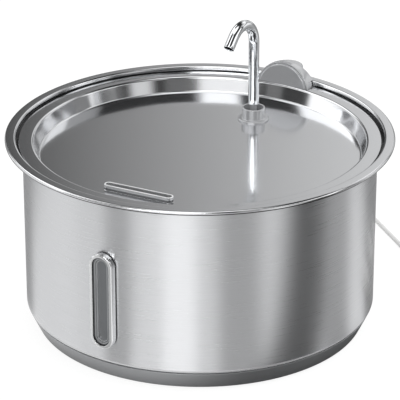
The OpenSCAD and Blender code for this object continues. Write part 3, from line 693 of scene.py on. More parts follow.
class Skin(Enum):
    """Finishes of single zones of a piece."""

    # belt-brushed round the wall: upright bands of light, drawn out by fine level lines
    WALL = BrushedSteel("steel_brushed_wall", STEEL, 0.30, 1.0, line=0.45, run=46.0,
                        anisotropy=0.85, tone=0.038, gloss=0.04, bump=0.006)
    FLANGE = BrushedSteel("steel_satin_flange", STEEL, 0.13, 1.0, run=20.0, rings=True,
                          tone=0.012, gloss=0.012, bump=0.0)
    # burnished by the drawing tool: nearly a mirror
    POLISHED = BrushedSteel("steel_polished_tray", "E0E1E3", 0.12, 1.0, tone=0.01, gloss=0.01,
                            bump=0.0)
    # a bright, half-matt steel painted on the slot's lip as its highlight
    LIP = BrushedSteel("steel_lip_painted_highlight", "F2F3F4", 0.15, 0.2, bump=0.0)
    # painted shade: a near-black steel in the deep gap at the ledge and under the flange's rolled
    # edge
    LEDGE = BrushedSteel("steel_gap_painted_shade", "1A1B1C", 0.32, 1.0, run=12.0)
    # cut edges: matt grey
    SHEARED = BrushedSteel("steel_sheared", "B0B1B3", 0.55, 0.5, line=0.3, run=6.0)
    # a lighter steel painted as a highlight on the wall's foot and as a reflection on the slot's
    # upper side
    SIDE = BrushedSteel("steel_side_painted_highlight", "D0D1D3", 0.20, 0.5, bump=0.0)
    # a darker steel painted as shade at the slot's foot
    FOOT = BrushedSteel("steel_foot_painted_shade", "78797B", 0.20, 0.5, bump=0.0)
    # the window's frosted face; a light plastic painted on its steps' edges as highlights, and a
    # near-black one painted round its rim as lines of shade
    FROSTED = ClearPlastic("san_frosted", "7C7F82", 0.10, ior=1.57, transmission=0.45)
    STEP = ClearPlastic("san_step_painted_highlight", "AFB1B3", 0.12, ior=1.57, transmission=0.2)
    # near-black plastic painted as lines of shade round the rim
    EDGE = ClearPlastic("san_edge_painted_shade", "2A2B2D", 0.08, ior=1.57, transmission=0.3)


@dataclass
class Part:
    """A built piece, with what it is made of and what it stands for."""

    piece: bpy.types.Object
    slot: Slot
    nodes: Sequence[str]
    skins: Sequence[Skin] = ()
    zone: Zone | None = None       # picks a skin from a face's middle in mm and its normal

    def dress(self, finishes: dict[Enum, bpy.types.Material], body: str) -> None:
        """Give the piece its finishes and its body, and hide the part's nodes that it stands for.

        Args:
            finishes: The fountain's materials.
            body: Body that it rides on.
        """
        for skin in self.skins or (self.slot,):
            self.piece.data.materials.append(finishes[skin])
        if self.zone:
            for face in self.piece.data.polygons:
                face.material_index = self.zone(face.center / MM, face.normal)
        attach(self.piece, body)
        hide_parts(*self.nodes)


class SubAssembly:
    """Pieces of the fountain that are built together and ride on one body."""

    body: ClassVar[str] = "bowl"

    def parts(self) -> list[Part]:
        """Build the pieces."""
        raise NotImplementedError

    def build(self, finishes: dict[Enum, bpy.types.Material]) -> None:
        """Build and dress the pieces.

        Args:
            finishes: The fountain's materials.
        """
        for part in self.parts():
            part.dress(finishes, self.body)


# ---------------------------------------------------------------- studio


@dataclass(frozen=True)
class Panel:
    """A light or dark screen of the studio, as polished metal sees it."""

    azimuth: float           # degrees from the camera's side, counter-clockwise from above
    elevation: float
    wide: float              # half width, degrees
    high: float              # half height, degrees
    level: float
    soft: float              # width of its faded edge, degrees


@dataclass(frozen=True)
class Board:
    """A card lying on the floor out from the bowl, which shows as a band in its wall."""

    turn: float              # degrees round the wall, from the camera's side, to the right
    half: float              # half width in the same degrees
    level: float
    slant: float = 0.0       # degrees that it lies askew, so that its band leans


def outward(azimuth: float, elevation: float) -> Vector:
    """Direction from the origin, azimuth 0 to the front and rising to the right."""
    a, e = math.radians(azimuth), math.radians(elevation)
    return Vector((math.sin(a) * math.cos(e), -math.cos(a) * math.cos(e), math.sin(e)))


@dataclass
class Studio:
    """Camera, floor, world and lamps."""

    azimuth: float = 31.1
    elevation: float = 24.03
    distance: float = 1460.0
    target: Place = (0.0, 0.0, 74.15)
    lens: float = 220.1
    sky: float = 0.04
    ambient: float = 0.80
    overhead: float = 1.6
    wall_r: float = 104.8
    floor_half: float = 3000.0
    floor_z: float = -0.02
    panels: Sequence[Panel] = (
        # tall cards before the bowl and to one side
        Panel(-18, 30, 20, 36, 1.08, 13),
        Panel(-21, 57, 18, 9, 1.85, 8),
        Panel(-118, 21, 24, 9, 0.62, 6),
        Panel(-112, 4, 28, 9, 1.35, 5),
        Panel(-120, 48, 22, 18, 1.80, 8),
        # long cards, and the low ones under them
        Panel(-61, 27, 35, 8, 1.90, 6),
        Panel(60, 29, 36, 7, 1.50, 5),
        Panel(-91, 9, 9, 11, 1.40, 5),
        Panel(-54, 8, 6, 11, 0.20, 5),
        Panel(-77, 18, 9, 3.5, 1.60, 3),
        Panel(42, 8, 8, 12, 0.82, 9),
        Panel(14, 12, 11, 9, 0.18, 8),
        Panel(63, 10, 8, 8, 0.14, 6),
        Panel(79, 8, 4.5, 12, 1.25, 4),
        Panel(76, 18, 14, 5, 1.30, 4),
        Panel(94, 5, 9, 10, 0.25, 5),
        # cards at the far side
        Panel(119, 17, 15, 21, 1.00, 8),
        Panel(148, 23, 9, 26, 0.70, 8),
        Panel(148, 37, 15, 8, 1.25, 6),
        Panel(114, 43, 17, 6, 0.50, 5),
        Panel(162, 11, 7, 7, 0.22, 5),
        Panel(-150, 8, 8, 14, 0.35, 6),
        Panel(-150, 36, 11, 9, 1.90, 6),
        # strips that draw the dark lines of the tube
        Panel(-66, 21.5, 19, 3, 0.05, 3),
        Panel(41, 21, 18, 3, 0.05, 3),
        Panel(119, 21.5, 14, 3, 0.15, 3),
        # a small bright one that the tube throws down on the tray's floor
        Panel(-18, 25.5, 25, 2, 8.00, 2.5),
    )
    boards: Sequence[Board] = (
        Board(-6.5, 5.5, 1.20),
        Board(13.0, 7.0, 0.52),
        Board(21.0, 8.0, 0.08, 38.0),
        Board(50.0, 6.0, 0.42),
        Board(75.0, 8.0, 0.30),
        Board(-27.0, 4.5, 0.52),
        Board(-77.0, 7.0, 0.36),
    )

    def camera(self) -> None:
        """Make the camera and give it to the scene."""
        data = bpy.data.cameras.new("camera")
        data.lens, data.sensor_width = self.lens, 36.0
        data.clip_start, data.clip_end = 0.05, 20.0
        obj = linked("camera", data)
        away = outward(self.azimuth, self.elevation)
        obj.location = (Vector(self.target) + away * self.distance) * MM
        obj.rotation_euler = away.to_track_quat("Z", "Y").to_euler()
        bpy.context.scene.camera = obj
        bpy.context.scene.view_settings.view_transform = "Standard"

    def bearing(self, tree: bpy.types.NodeTree, turn: bpy.types.Node,
                azimuth: float) -> bpy.types.Node:
        """Angle from a direction of the studio.

        Args:
            tree: The world's nodes.
            turn: Node that gives the azimuth in the part's frame.
            azimuth: The direction, in degrees from the camera's side.

        Returns:
            Node that gives the angle in radians, from -pi to pi.
        """
        aim = math.radians(self.azimuth - 90.0 + azimuth)
        off = add(tree, "Math", (turn, aim), operation="SUBTRACT")
        return add(tree, "Math", (off, math.pi, -math.pi), operation="WRAP")

    def world(self) -> None:
        """Light the scene: white behind it, an even light on it, screens in its metal."""
        world = bpy.data.worlds.new("studio")
        bpy.context.scene.world = world
        tree = blank(world)
        part = add(tree, "SeparateXYZ", (add(tree, "TexCoord").outputs["Generated"],))
        turn = add(tree, "Math", (part.outputs[1], part.outputs[0]), operation="ARCTAN2")
        rise = add(tree, "Math", (part.outputs[2],), operation="ARCSINE")
        level = self.behind(tree, turn, rise)
        over = add(tree, "MapRange", (rise, math.radians(64), math.radians(76)),
                   interpolation_type=FADE)
        level = add(tree, "Mix", {0: over, 2: level, 3: self.overhead}, data_type="FLOAT")
        for panel in self.panels:
            lift = add(tree, "Math", (rise, math.radians(panel.elevation)), operation="SUBTRACT")
            masks = []
            for value, half in ((self.bearing(tree, turn, panel.azimuth), panel.wide),
                                (lift, panel.high)):
                size = add(tree, "Math", (value,), operation="ABSOLUTE")
                masks.append(add(tree, "MapRange", (
                    size, math.radians(half + panel.soft / 2),
                    math.radians(half - panel.soft / 2)), interpolation_type=FADE))
            mask = add(tree, "Math", masks, operation="MULTIPLY")
            level = add(tree, "Mix", {0: mask, 2: level, 3: panel.level}, data_type="FLOAT")
        path = add(tree, "LightPath").outputs
        shiny = add(tree, "Math", (path["Is Glossy Ray"], path["Is Transmission Ray"]),
                    operation="MAXIMUM")
        seen = add(tree, "Mix", {0: shiny, 2: self.ambient, 3: level}, data_type="FLOAT")
        plain = add(tree, "Mix", {0: path["Is Camera Ray"], 2: seen, 3: 1.0}, data_type="FLOAT")
        add(tree, "OutputWorld", (add(tree, "Background", ((1, 1, 1, 1), plain)),))

    def behind(self, tree: bpy.types.NodeTree, turn: bpy.types.Node,
               rise: bpy.types.Node) -> bpy.types.Node:
        """Add the graded screen behind the bowl, which its level faces reflect.

        Args:
            tree: The world's nodes.
            turn: Node that gives the azimuth.
            rise: Node that gives the elevation.

        Returns:
            Node that gives the level of the sky with the screen.
        """
        near = self.bearing(tree, turn, 180.0)
        # dark at the left of the screen as the camera's side sees it, light at its right
        graded = add(tree, "MapRange", (near, math.radians(-5), math.radians(5), 0.80, 0.09))
        size = add(tree, "Math", (near,), operation="ABSOLUTE")
        wide = add(tree, "MapRange", (size, math.radians(30), math.radians(20)))
        high = add(tree, "MapRange", (rise, math.radians(34), math.radians(30)))
        mask = add(tree, "Math", (wide, high), operation="MULTIPLY")
        return add(tree, "Mix", {0: mask, 2: self.sky, 3: graded}, data_type="FLOAT")

    def floor(self) -> None:
        """Lay the white floor; metal also sees the boards that lie on it."""
        f, z = self.floor_half, self.floor_z
        obj = mesh_object("floor", [(-f, -f, z), (f, -f, z), (f, f, z), (-f, f, z)],
                          [(0, 1, 2, 3)])
        material = bpy.data.materials.new("floor_white")
        tree = blank(material)
        place = add(tree, "TexCoord").outputs["Object"]
        turned = add(tree, "VectorRotate", {"Vector": place,
                                            "Angle": -math.radians(self.azimuth - 90.0)},
                     rotation_type="Z_AXIS")
        part = add(tree, "SeparateXYZ", (turned,)).outputs
        # behind the bowl the floor falls into shade
        level = add(tree, "MapRange", (part[0], -0.04, -0.20, 0.88, 0.45), interpolation_type=FADE)
        for board in self.boards:
            level = self.lay(tree, turned, board, level)
        # the last centimetre before the base lies in its shade, deeper at the right
        shade = add(tree, "MapRange", (part[1], -0.035, 0.035, 0.86, 0.11),
                    interpolation_type=FADE)
        away = add(tree, "VectorMath", (place,), operation="LENGTH").outputs["Value"]
        close = add(tree, "MapRange", (away, 0.118, 0.109))
        under = add(tree, "MapRange", (away, 0.099, 0.107, 0.5, 1.15))
        deep = add(tree, "Math", (shade, under), operation="MULTIPLY")
        level = add(tree, "Mix", {0: close, 2: level, 3: deep}, data_type="FLOAT")
        path = add(tree, "LightPath").outputs
        matt = add(tree, "BsdfDiffuse", ((0.92, 0.92, 0.92, 1),))
        board_light = add(tree, "Emission", ((1, 1, 1, 1), level))
        white = add(tree, "Emission", ((1, 1, 1, 1), 1.12))
        shiny = add(tree, "MixShader", (path["Is Glossy Ray"], matt, board_light))
        lit = add(tree, "MixShader", (0.78, matt, white))
        both = add(tree, "MixShader", (path["Is Camera Ray"], shiny, lit))
        add(tree, "OutputMaterial", (both,))
        obj.data.materials.append(material)

    def lay(self, tree: bpy.types.NodeTree, place: bpy.types.Node, board: Board,
            level: bpy.types.Node) -> bpy.types.Node:
        """Lay one board on the floor.

        Args:
            tree: The floor's nodes.
            place: Point of the floor, first axis towards the camera's side.
            board: The board.
            level: Level of the floor without it.

        Returns:
            The level with it.
        """
        wall, t = self.wall_r * MM, math.radians(board.turn)
        aim, half = math.radians(2 * board.turn + board.slant), math.radians(board.half)
        c, s = math.cos(aim), math.sin(aim)
        start = add(tree, "VectorMath", (place, (wall * math.cos(t), wall * math.sin(t), 0)),
                    operation="SUBTRACT")
        along, across = (add(tree, "VectorMath", (start, way), operation="DOT_PRODUCT")
                         .outputs["Value"] for way in ((c, s, 0), (-s, c, 0)))
        size = add(tree, "Math", (across,), operation="ABSOLUTE")
        ahead = add(tree, "Math", (along, 0.0), operation="MAXIMUM")
        wide = add(tree, "Math", (ahead, 2 * half, half * wall * math.cos(t)),
                   operation="MULTIPLY_ADD")
        ratio = add(tree, "Math", (size, wide), operation="DIVIDE")
        near = add(tree, "MapRange", (ratio, 1.5, 0.5), interpolation_type=FADE)
        begun = add(tree, "MapRange", (along, -0.03, 0.0))
        mask = add(tree, "Math", (near, begun), operation="MULTIPLY")
        return add(tree, "Mix", {0: mask, 2: level, 3: board.level}, data_type="FLOAT")

    def lamps(self) -> None:
        """Hang two soft lamps, the stronger one high at the right."""
        for name, azimuth, elevation, power in (("key", 75, 50, 9.0), ("fill", -50, 35, 3.0)):
            data = bpy.data.lights.new(name, "AREA")
            data.energy, data.size = power, 1.2
            obj = linked(name, data)
            away = outward(self.azimuth + azimuth, elevation)
            obj.location = away * 1.8
            obj.rotation_euler = away.to_track_quat("Z", "Y").to_euler()
            obj.visible_glossy = False


# ---------------------------------------------------------------- power cord


@dataclass
class PowerCord(SubAssembly):
    """Low-voltage lead: along the floor to a wound coil, and its plug."""

    diameter: float = 2.8
    exit: Place = (0.0, 111.4, 78.0)
    route: Sequence[Place] = (
        (0, 111.4, 78), (0, 111.6, 68), (0.4, 112.4, 58), (1.2, 114.2, 48), (2.4, 117.2, 38),
        (3.8, 121.6, 28.6), (5.6, 127.4, 19.8), (7.6, 134.6, 12.2), (9.8, 142.8, 6.4),
        (12, 151.6, 2.8), (14, 160.6, 1.4), (15.3, 166.3, 1.4), (17.4, 170.5, 1.4),
        (20.8, 173.1, 1.4), (25, 174, 1.4), (28.5, 173.4, 1.4), (31.6, 171.6, 1.4),
        (39.5, 165, 1.4), (47.2, 158.6, 1.4), (54.8, 152.2, 1.4), (62.1, 146, 1.4),
        (70, 139.3, 1.6), (77.4, 133.1, 2))
    tail: Sequence[Place] = (
        (90.9, 129.6, 10.4), (96, 129.5, 10.4), (101.4, 128.4, 9.6), (106, 125.4, 7.6),
        (109.4, 121.2, 5.6), (111.4, 116.8, 4.3), (112, 112, 4))
    coil_at: Flat = (90.9, 149.2)
    coil_outer: float = 21.0
    coil_inner: float = 12.6
    coil_from: float = 230.0
    coil_low: float = 2.0
    layers: int = 4
    layer_turns: float = 3.0
    last_turns: float = 2.487
    rise: float = 75.0             # degrees over which the cord climbs to the next layer
    tie_from: float = 64.0
    tie_turn: float = 18.0
    tie_wall: float = 0.25
    plug_at: Place = (112.0, 112.0, 4.0)
    grip: float = 24.0
    shell: float = 12.0

    def around(self, angle: float, r: float, z: float) -> Vector:
        """Point at an angle in degrees and a radius about the coil's axis."""
        t = math.radians(angle)
        return Vector((self.coil_at[0] + r * math.cos(t), self.coil_at[1] + r * math.sin(t), z))

    def coil(self) -> Ring:
        """Path of the coil, wound in and out, layer on layer.

        Returns:
            Points of the path.
        """
        points, angle, z = [], self.coil_from, self.coil_low
        for layer in range(self.layers):
            first, last = (self.coil_outer, self.coil_inner)[::1 - 2 * (layer % 2)]
            top = layer == self.layers - 1
            turns = self.last_turns if top else self.layer_turns
            grow = math.copysign(turns * self.diameter, last - first)
            steps = int(turns * 48)
            points += [self.around(angle + 360 * turns * i / steps, first + grow * i / steps, z)
                       for i in range(steps + 1)]
            angle += 360 * turns
            if not top:
                for share in spaced(0.0, 1.0, 10):
                    lift = self.diameter * (3 * share ** 2 - 2 * share ** 3)
                    points.append(self.around(angle + self.rise * share, last, z + lift))
                angle += self.rise
                z += self.diameter
        return points

    def path(self) -> Ring:
        """Whole path from the strain relief to the plug."""
        return smooth_curve(self.route)[:-1] + self.coil() + smooth_curve(self.tail)[1:]

    def length(self) -> float:
        """Length of the path in metres."""
        points = self.path()
        return sum((b - a).length for a, b in zip(points, points[1:])) * MM

    def lead(self) -> bpy.types.Object:
        """Draw the lead as one curve.

        Returns:
            The curve object.
        """
        data = bpy.data.curves.new("lead", "CURVE")
        data.dimensions = "3D"
        data.bevel_depth = self.diameter / 2 * MM
        data.bevel_resolution = 4
        data.use_fill_caps = True
        points = self.path()
        spline = data.splines.new("POLY")
        spline.points.add(len(points) - 1)
        for target, p in zip(spline.points, points):
            target.co = (*(p * MM), 1.0)
        spline.use_smooth = True
        return linked("lead", data)

    def along(self, name: str, rows: Sequence[Sequence[float]], lift: float = 0.0
              ) -> bpy.types.Object:
        """Loft rounded rectangles that stand across the plug.

        Args:
            name: Name of the piece.
            rows: Width, height, corner radius and distance from the cord's end of each.
            lift: How far they lie above the plug's middle.

        Returns:
            The piece.
        """
        x, y, z = self.plug_at
        return loft(name, [standing(block(w, h, r), (x, z + lift), y - run)
                           for w, h, r, run in rows])

    def plug(self) -> list[bpy.types.Object]:
        """Build the USB plug: ribbed grip, folded shell and contact tongue.

        Returns:
            Grip, shell and tongue.
        """
        g, end = self.grip, self.grip + self.shell
        x, y, z = self.plug_at
        full, eased = (15.6, 7.8, 2.0), (15.0, 7.3, 1.8)
        rows: list[Sequence[float]] = [(3.6, 3.6, 1.79, 0.0)]
        for i in range(5):      # ribbed neck
            r, run = 1.95 + 0.32 * i, 0.4 + 1.55 * i
            rows += [(2 * q, 2 * q, q - 0.01 - e, run + d) for q, e, d in
                     ((r, 0, 0), (r, 0, 0.95), (r - 0.35, 0.01, 1.1), (r - 0.35, 0.01, 1.4))]
        rows += [(7.6, 6.2, 2.6, 8.6), (11.5, 7.0, 2.6, 9.4), (14.6, 7.6, 2.2, 10.6),
                 (*full, 12.2)]
        for i in range(4):      # finger ridges
            run = 13.6 + 1.9 * i
            rows += [(*full, run), (*eased, run + 0.25), (*eased, run + 0.75), (*full, run + 1.0)]
        rows += [(*full, g - 0.9), (15.1, 7.3, 1.8, g - 0.2), (14.2, 6.4, 1.4, g)]
        grip = self.along("plug_grip_ribbed", rows)
        out, inn = (12.0, 4.5, 0.5), (11.4, 3.9, 0.25)
        shell = self.along("plug_shell_folded", [(*out, g), (*out, end - 0.2),
                                                 (11.8, 4.3, 0.4, end), (*inn, end),
                                                 (*inn, g + 0.5)])
        cut(shell, *(loft("hole", [lying(block(2.3, 2.5, 0.2), (x + s * 2.9, y - g - 6.2), z + h)
                                   for h in (1.0, 3.0)]) for s in (-1, 1)))
        tongue = self.along("plug_tongue_moulded", [(10.8, 1.8, 0.15, g + 0.5),
                                                    (10.8, 1.8, 0.15, g + 10.8),
                                                    (10.5, 1.5, 0.15, g + 11.1)], 0.9)
        return [grip, shell, tongue]

    def tie(self) -> bpy.types.Object:
        """Build the wire tie round the coil.

        Returns:
            The tie.
        """
        low = self.coil_low - 1.4
        sides = (self.coil_inner - 1.55, self.coil_outer + 1.35)
        levels = (low - 0.12, low + self.layers * self.diameter + 0.2)

        def wound(ease: float) -> list[Ring]:
            """Rings of the strap, moved in.

            Args:
                ease: How far they are moved.

            Returns:
                The rings along the coil.
            """
            a, b = sides[0] + ease, sides[1] - ease
            c, d = levels[0] + ease, levels[1] - ease
            return [[self.around(self.tie_from + self.tie_turn * k / 10, r, z)
                     for r, z in ((a, c), (b, c), (b, d), (a, d))] for k in range(11)]

        return loft("coil_tie", wound(0.0) + wound(self.tie_wall)[::-1], caps=False, wrap=True)

    def build(self, finishes: dict[Enum, bpy.types.Material]) -> None:
        """Build the lead, its plug and its tie.

        Args:
            finishes: The fountain's materials.
        """
        lead, (grip, shell, tongue), tie = self.lead(), self.plug(), self.tie()
        for part in (Part(lead, Slot.CORD_WHITE, ("power_cord", "cord_coil", "plug_tail")),
                     Part(grip, Slot.CORD_WHITE, ("plug_grip",)),
                     Part(shell, Slot.PLUG_STEEL, ("plug_shell",)),
                     Part(tongue, Slot.CERAMIC, ("plug_tongue",)),
                     Part(tie, Slot.TIE_BLACK, ("cord_tie",))):
            part.dress(finishes, self.body)
        tuple(v * MM for v in self.exit)
        round(self.length(), 3)


# ---------------------------------------------------------------- bowl, base and window


@dataclass
class Bowl(SubAssembly):
    """Deep-drawn steel bowl with a ledge inside its rolled flange."""

    radius: float = 104.8
    sheet: float = 0.8
    foot_r: float = 101.6
    floor_z: float = 6.0
    shoulder_z: float = 11.9
    ledge_z: float = 114.3
    ledge_r: float = 108.6
    height: float = 118.0
    flange_r: float = 115.0
    hem: float = 2.5
    window: Flat = (10.3, 54.3)
    window_z: float = 52.25
    cable: Flat = (7.0, 13.0)
    cable_z: float = 108.2
    screw: float = 2.6
    screw_x: float = 11.5
    screw_z: float = 106.0

    def shell(self) -> bpy.types.Object:
        """Turn the sheet and cut its openings.

        Returns:
            The bowl.
        """
        h = self.sheet / 2
        bend = (self.hem - self.sheet) / 2 - 0.05
        foot, wall, ledge, flange = (r - h for r in (self.foot_r, self.radius,
                                                     self.ledge_r + self.sheet, self.flange_r))
        floor, shoulder = self.floor_z + h, self.shoulder_z + h
        shelf, rim, hem = self.ledge_z - h, self.height - h, self.height - self.hem + h
        path = rounded([(0, floor), (foot, floor), (foot, shoulder), (wall, shoulder),
                        (wall, shelf), (ledge, shelf), (ledge, rim), (flange, rim),
                        (flange, hem), (self.flange_r - self.hem + h, hem)],
                       [3.2, 1.0, 2.0, 1.0, 0.8, 0.8, bend, bend])
        path = divided(path, 5.0)
        bowl = revolve("bowl_sheet", side_of(path, h) + side_of(path, -h)[::-1], sides=288)
        oblong = [p.yx for p in stadium(*self.cable)]
        cut(bowl, self.through(stadium(*self.window), (0.0, self.window_z), -98.0, -112.0),
            self.through(oblong, (0.0, self.cable_z), 98.0, 105.6),
            *(self.through(stadium(self.screw, self.screw + 0.02, 12),
                           (s * self.screw_x, self.screw_z), 98.0, 108.0) for s in (-1, 1)))
        return weighted(bowl)

    @staticmethod
    def through(outline: Ring, middle: Flat, first: float, last: float) -> bpy.types.Object:
        """Cutter of a hole through the wall, from one Y to another."""
        return loft("hole", [standing(outline, middle, y) for y in (first, last)])

    def zone(self, middle: Vector, normal: Vector) -> int:
        """Finish of a face: wall, flange, inside, polished edge, painted shade in the ledge's gap
        and under the rolled edge, or a painted highlight on the wall's foot.

        Args:
            middle: The face's middle in millimetres.
            normal: Its normal.

        Returns:
            The material's number.
        """
        r = math.hypot(middle.x, middle.y)
        outside = normal.x * middle.x + normal.y * middle.y > 0
        if r > self.ledge_r + 0.9 and middle.z > self.height - self.hem - 0.5:
            # the underside of the rolled edge gets painted shade
            rolled = outside and -0.95 < normal.z < -0.15
            return 1 if normal.z > 0.7 else 4 if rolled else 3
        if outside and middle.z < self.ledge_z:
            # the bend at the wall's foot gets a painted highlight
            return 5 if -0.95 < normal.z < -0.08 and middle.z < self.shoulder_z + 3 else 0
        if middle.z < self.ledge_z - 4:
            return 2
        # the ledge and the bend below the flange inside get painted shade
        return 3 if middle.z > self.ledge_z + 1.0 else 4

    def parts(self) -> list[Part]:
        """Build the bowl.

        Returns:
            The one piece.
        """
        return [Part(self.shell(), Slot.BOWL_STEEL, ("bowl_shell",),
                     (Skin.WALL, Skin.FLANGE, Slot.BOWL_STEEL, Skin.POLISHED, Skin.LEDGE,
                      Skin.SIDE), self.zone)]


@dataclass
class Base(SubAssembly):
    """Moulded base cup and the grooved mat under it."""

    top: float = 11.8
    top_r: float = 103.9
    low_r: float = 98.6
    low_z: float = 0.6
    wall_r: float = 101.7
    chamfer: float = 0.7
    mat_r: float = 92.0
    mat_t: float = 2.2
    seat_z: float = 6.0
    seat_r: float = 93.2
    groove: float = 0.6
    groove_pitch: float = 4.0

    def cup(self) -> bpy.types.Object:
        """Turn the ring of the cup, its outside a cone with eased edges.

        Returns:
            The cup.
        """
        recess, lip = self.mat_r + 0.1, (self.wall_r, self.top - self.chamfer)
        low, top = (self.low_r, self.low_z), (self.top_r, self.top)
        outside = corner((recess, self.low_z), low, top, 1.6)
        outside += corner(low, top, (self.wall_r, self.top), 0.35, 5)
        section = [(self.seat_r, self.mat_t), (recess, self.mat_t), (recess, self.low_z + 0.1),
                   (recess + 0.1, self.low_z), *divided(outside, 1.5),
                   (self.wall_r + 0.6, self.top), lip,
                   *corner(lip, (self.wall_r, self.seat_z), (self.seat_r, self.seat_z), 3.2),
                   (self.seat_r, self.seat_z)]
        return revolve("base_cup_moulded", section, sides=256)

    def mat(self) -> bpy.types.Object:
        """Turn the mat with rings of grooves in its underside.

        Returns:
            The mat.
        """
        section, r, deep = [(0.0, 0.0)], 8.0, self.groove
        while r < self.mat_r - 8:
            section += [(r, 0.0), (r + 0.3, deep), (r + 1.7, deep), (r + 2.0, 0.0)]
            r += self.groove_pitch
        section += fillet((self.mat_r - 0.6, 0.0), (self.mat_r, 0.6), False, 4)
        section += [(self.mat_r, self.mat_t), (0, self.mat_t)]
        return revolve("foot_mat_grooved", section)

    def parts(self) -> list[Part]:
        """Build the cup and the mat."""
        return [Part(self.cup(), Slot.BASE_PLASTIC, ("base_cup",)),
                Part(self.mat(), Slot.MAT_RUBBER, ("foot_mat",))]


@dataclass
class LevelWindow(SubAssembly):
    """Clear moulding with a raised rim round its stepped face."""

    width: float = 15.5
    height: float = 59.5
    middle: float = 52.25
    face: float = 109.0
    seat_r: float = 105.4
    rounding: float = 1.1
    rim: float = 2.3
    step: float = 0.6
    lap: float = 1.15
    line: float = 0.42
    plug: Flat = (10.1, 54.1)
    plug_end: float = 101.6

    def ring(self, size: Flat, inset: float, distance: float, on_wall: bool = False) -> Ring:
        """Outline of the moulding, moved in.

        Args:
            size: Width and height of the outside outline.
            inset: How far it lies inside that.
            distance: Distance in front of the axis.
            on_wall: Whether the distance is a radius about the axis.

        Returns:
            Points of the ring.
        """
        return [Vector((p.x, -(math.sqrt(distance ** 2 - p.x ** 2) if on_wall else distance),
                        self.middle + p.y))
                for p in stadium(size[0] - 2 * inset, size[1] - 2 * inset, 28)]

    def lens(self) -> bpy.types.Object:
        """Loft the moulding from its plug over the rim into the stepped face.

        Returns:
            The moulding.
        """
        size, face, rim, depth = (self.width, self.height), self.face, self.rim, 2 * self.step
        rings = [self.ring(self.plug, 0.0, self.plug_end)]
        rings += [self.ring(outline, 0.0, distance, True) for outline, distance in
                  ((self.plug, self.seat_r), (size, self.seat_r), (size, self.seat_r + 0.35))]
        steps = fillet((0.0, face - self.rounding), (self.rounding, face), True, 6)
        steps += [(rim - 0.5, face),
                  *fillet((rim - 0.45, face), (rim - 0.05, face - 0.4), False, 4),
                  (rim, face - depth + 0.1)]
        for i in range(3):
            inset, level = rim + self.lap * i, face - depth - self.step * i
            above = level + self.step
            if i:
                steps += [(inset - self.line, above), (inset - 0.08, above), (inset, above - 0.1),
                          (inset, level + 0.08)]
            steps.append((inset + 0.1, level))
        rings += [self.ring(size, a, b) for a, b in steps]
        return loft("window_moulding", rings, sharp=28)

    def zone(self, middle: Vector, normal: Vector) -> int:
        """Finish of a face: 0 rim, 1 frosted face, 2 painted highlight on the edge of a step, 3
        painted shade line round the rim.

        Args:
            middle: The face's middle in millimetres.
            normal: Its normal.

        Returns:
            The material's number.
        """
        half = (self.height - self.width) / 2
        away = math.hypot(middle.x, max(0.0, abs(middle.z - self.middle) - half))
        inset = self.width / 2 - away
        # lines of painted shade at the rim's foot, its seat and its inner edge
        if middle.y > -self.seat_r:
            return 3 if abs(normal.y) < 0.5 and inset < 0.1 else 0
        if inset < 0.1 and math.hypot(middle.x, middle.y) < self.seat_r + 0.36:
            return 3
        if abs(inset - self.rim) < 0.16:
            return 3
        if inset < self.rim:
            return 0
        # painted highlights on the edges of the steps
        edges = (self.rim + self.lap * i for i in (1, 2))
        return 2 if any(-self.line < inset - edge < 0.06 for edge in edges) else 1

    def parts(self) -> list[Part]:
        """Build the window."""
        return [Part(self.lens(), Slot.WINDOW_CLEAR, ("window_lens",),
                     (Slot.WINDOW_CLEAR, Skin.FROSTED, Skin.STEP, Skin.EDGE), self.zone)]


# ---------------------------------------------------------------- tray, collar and faucet


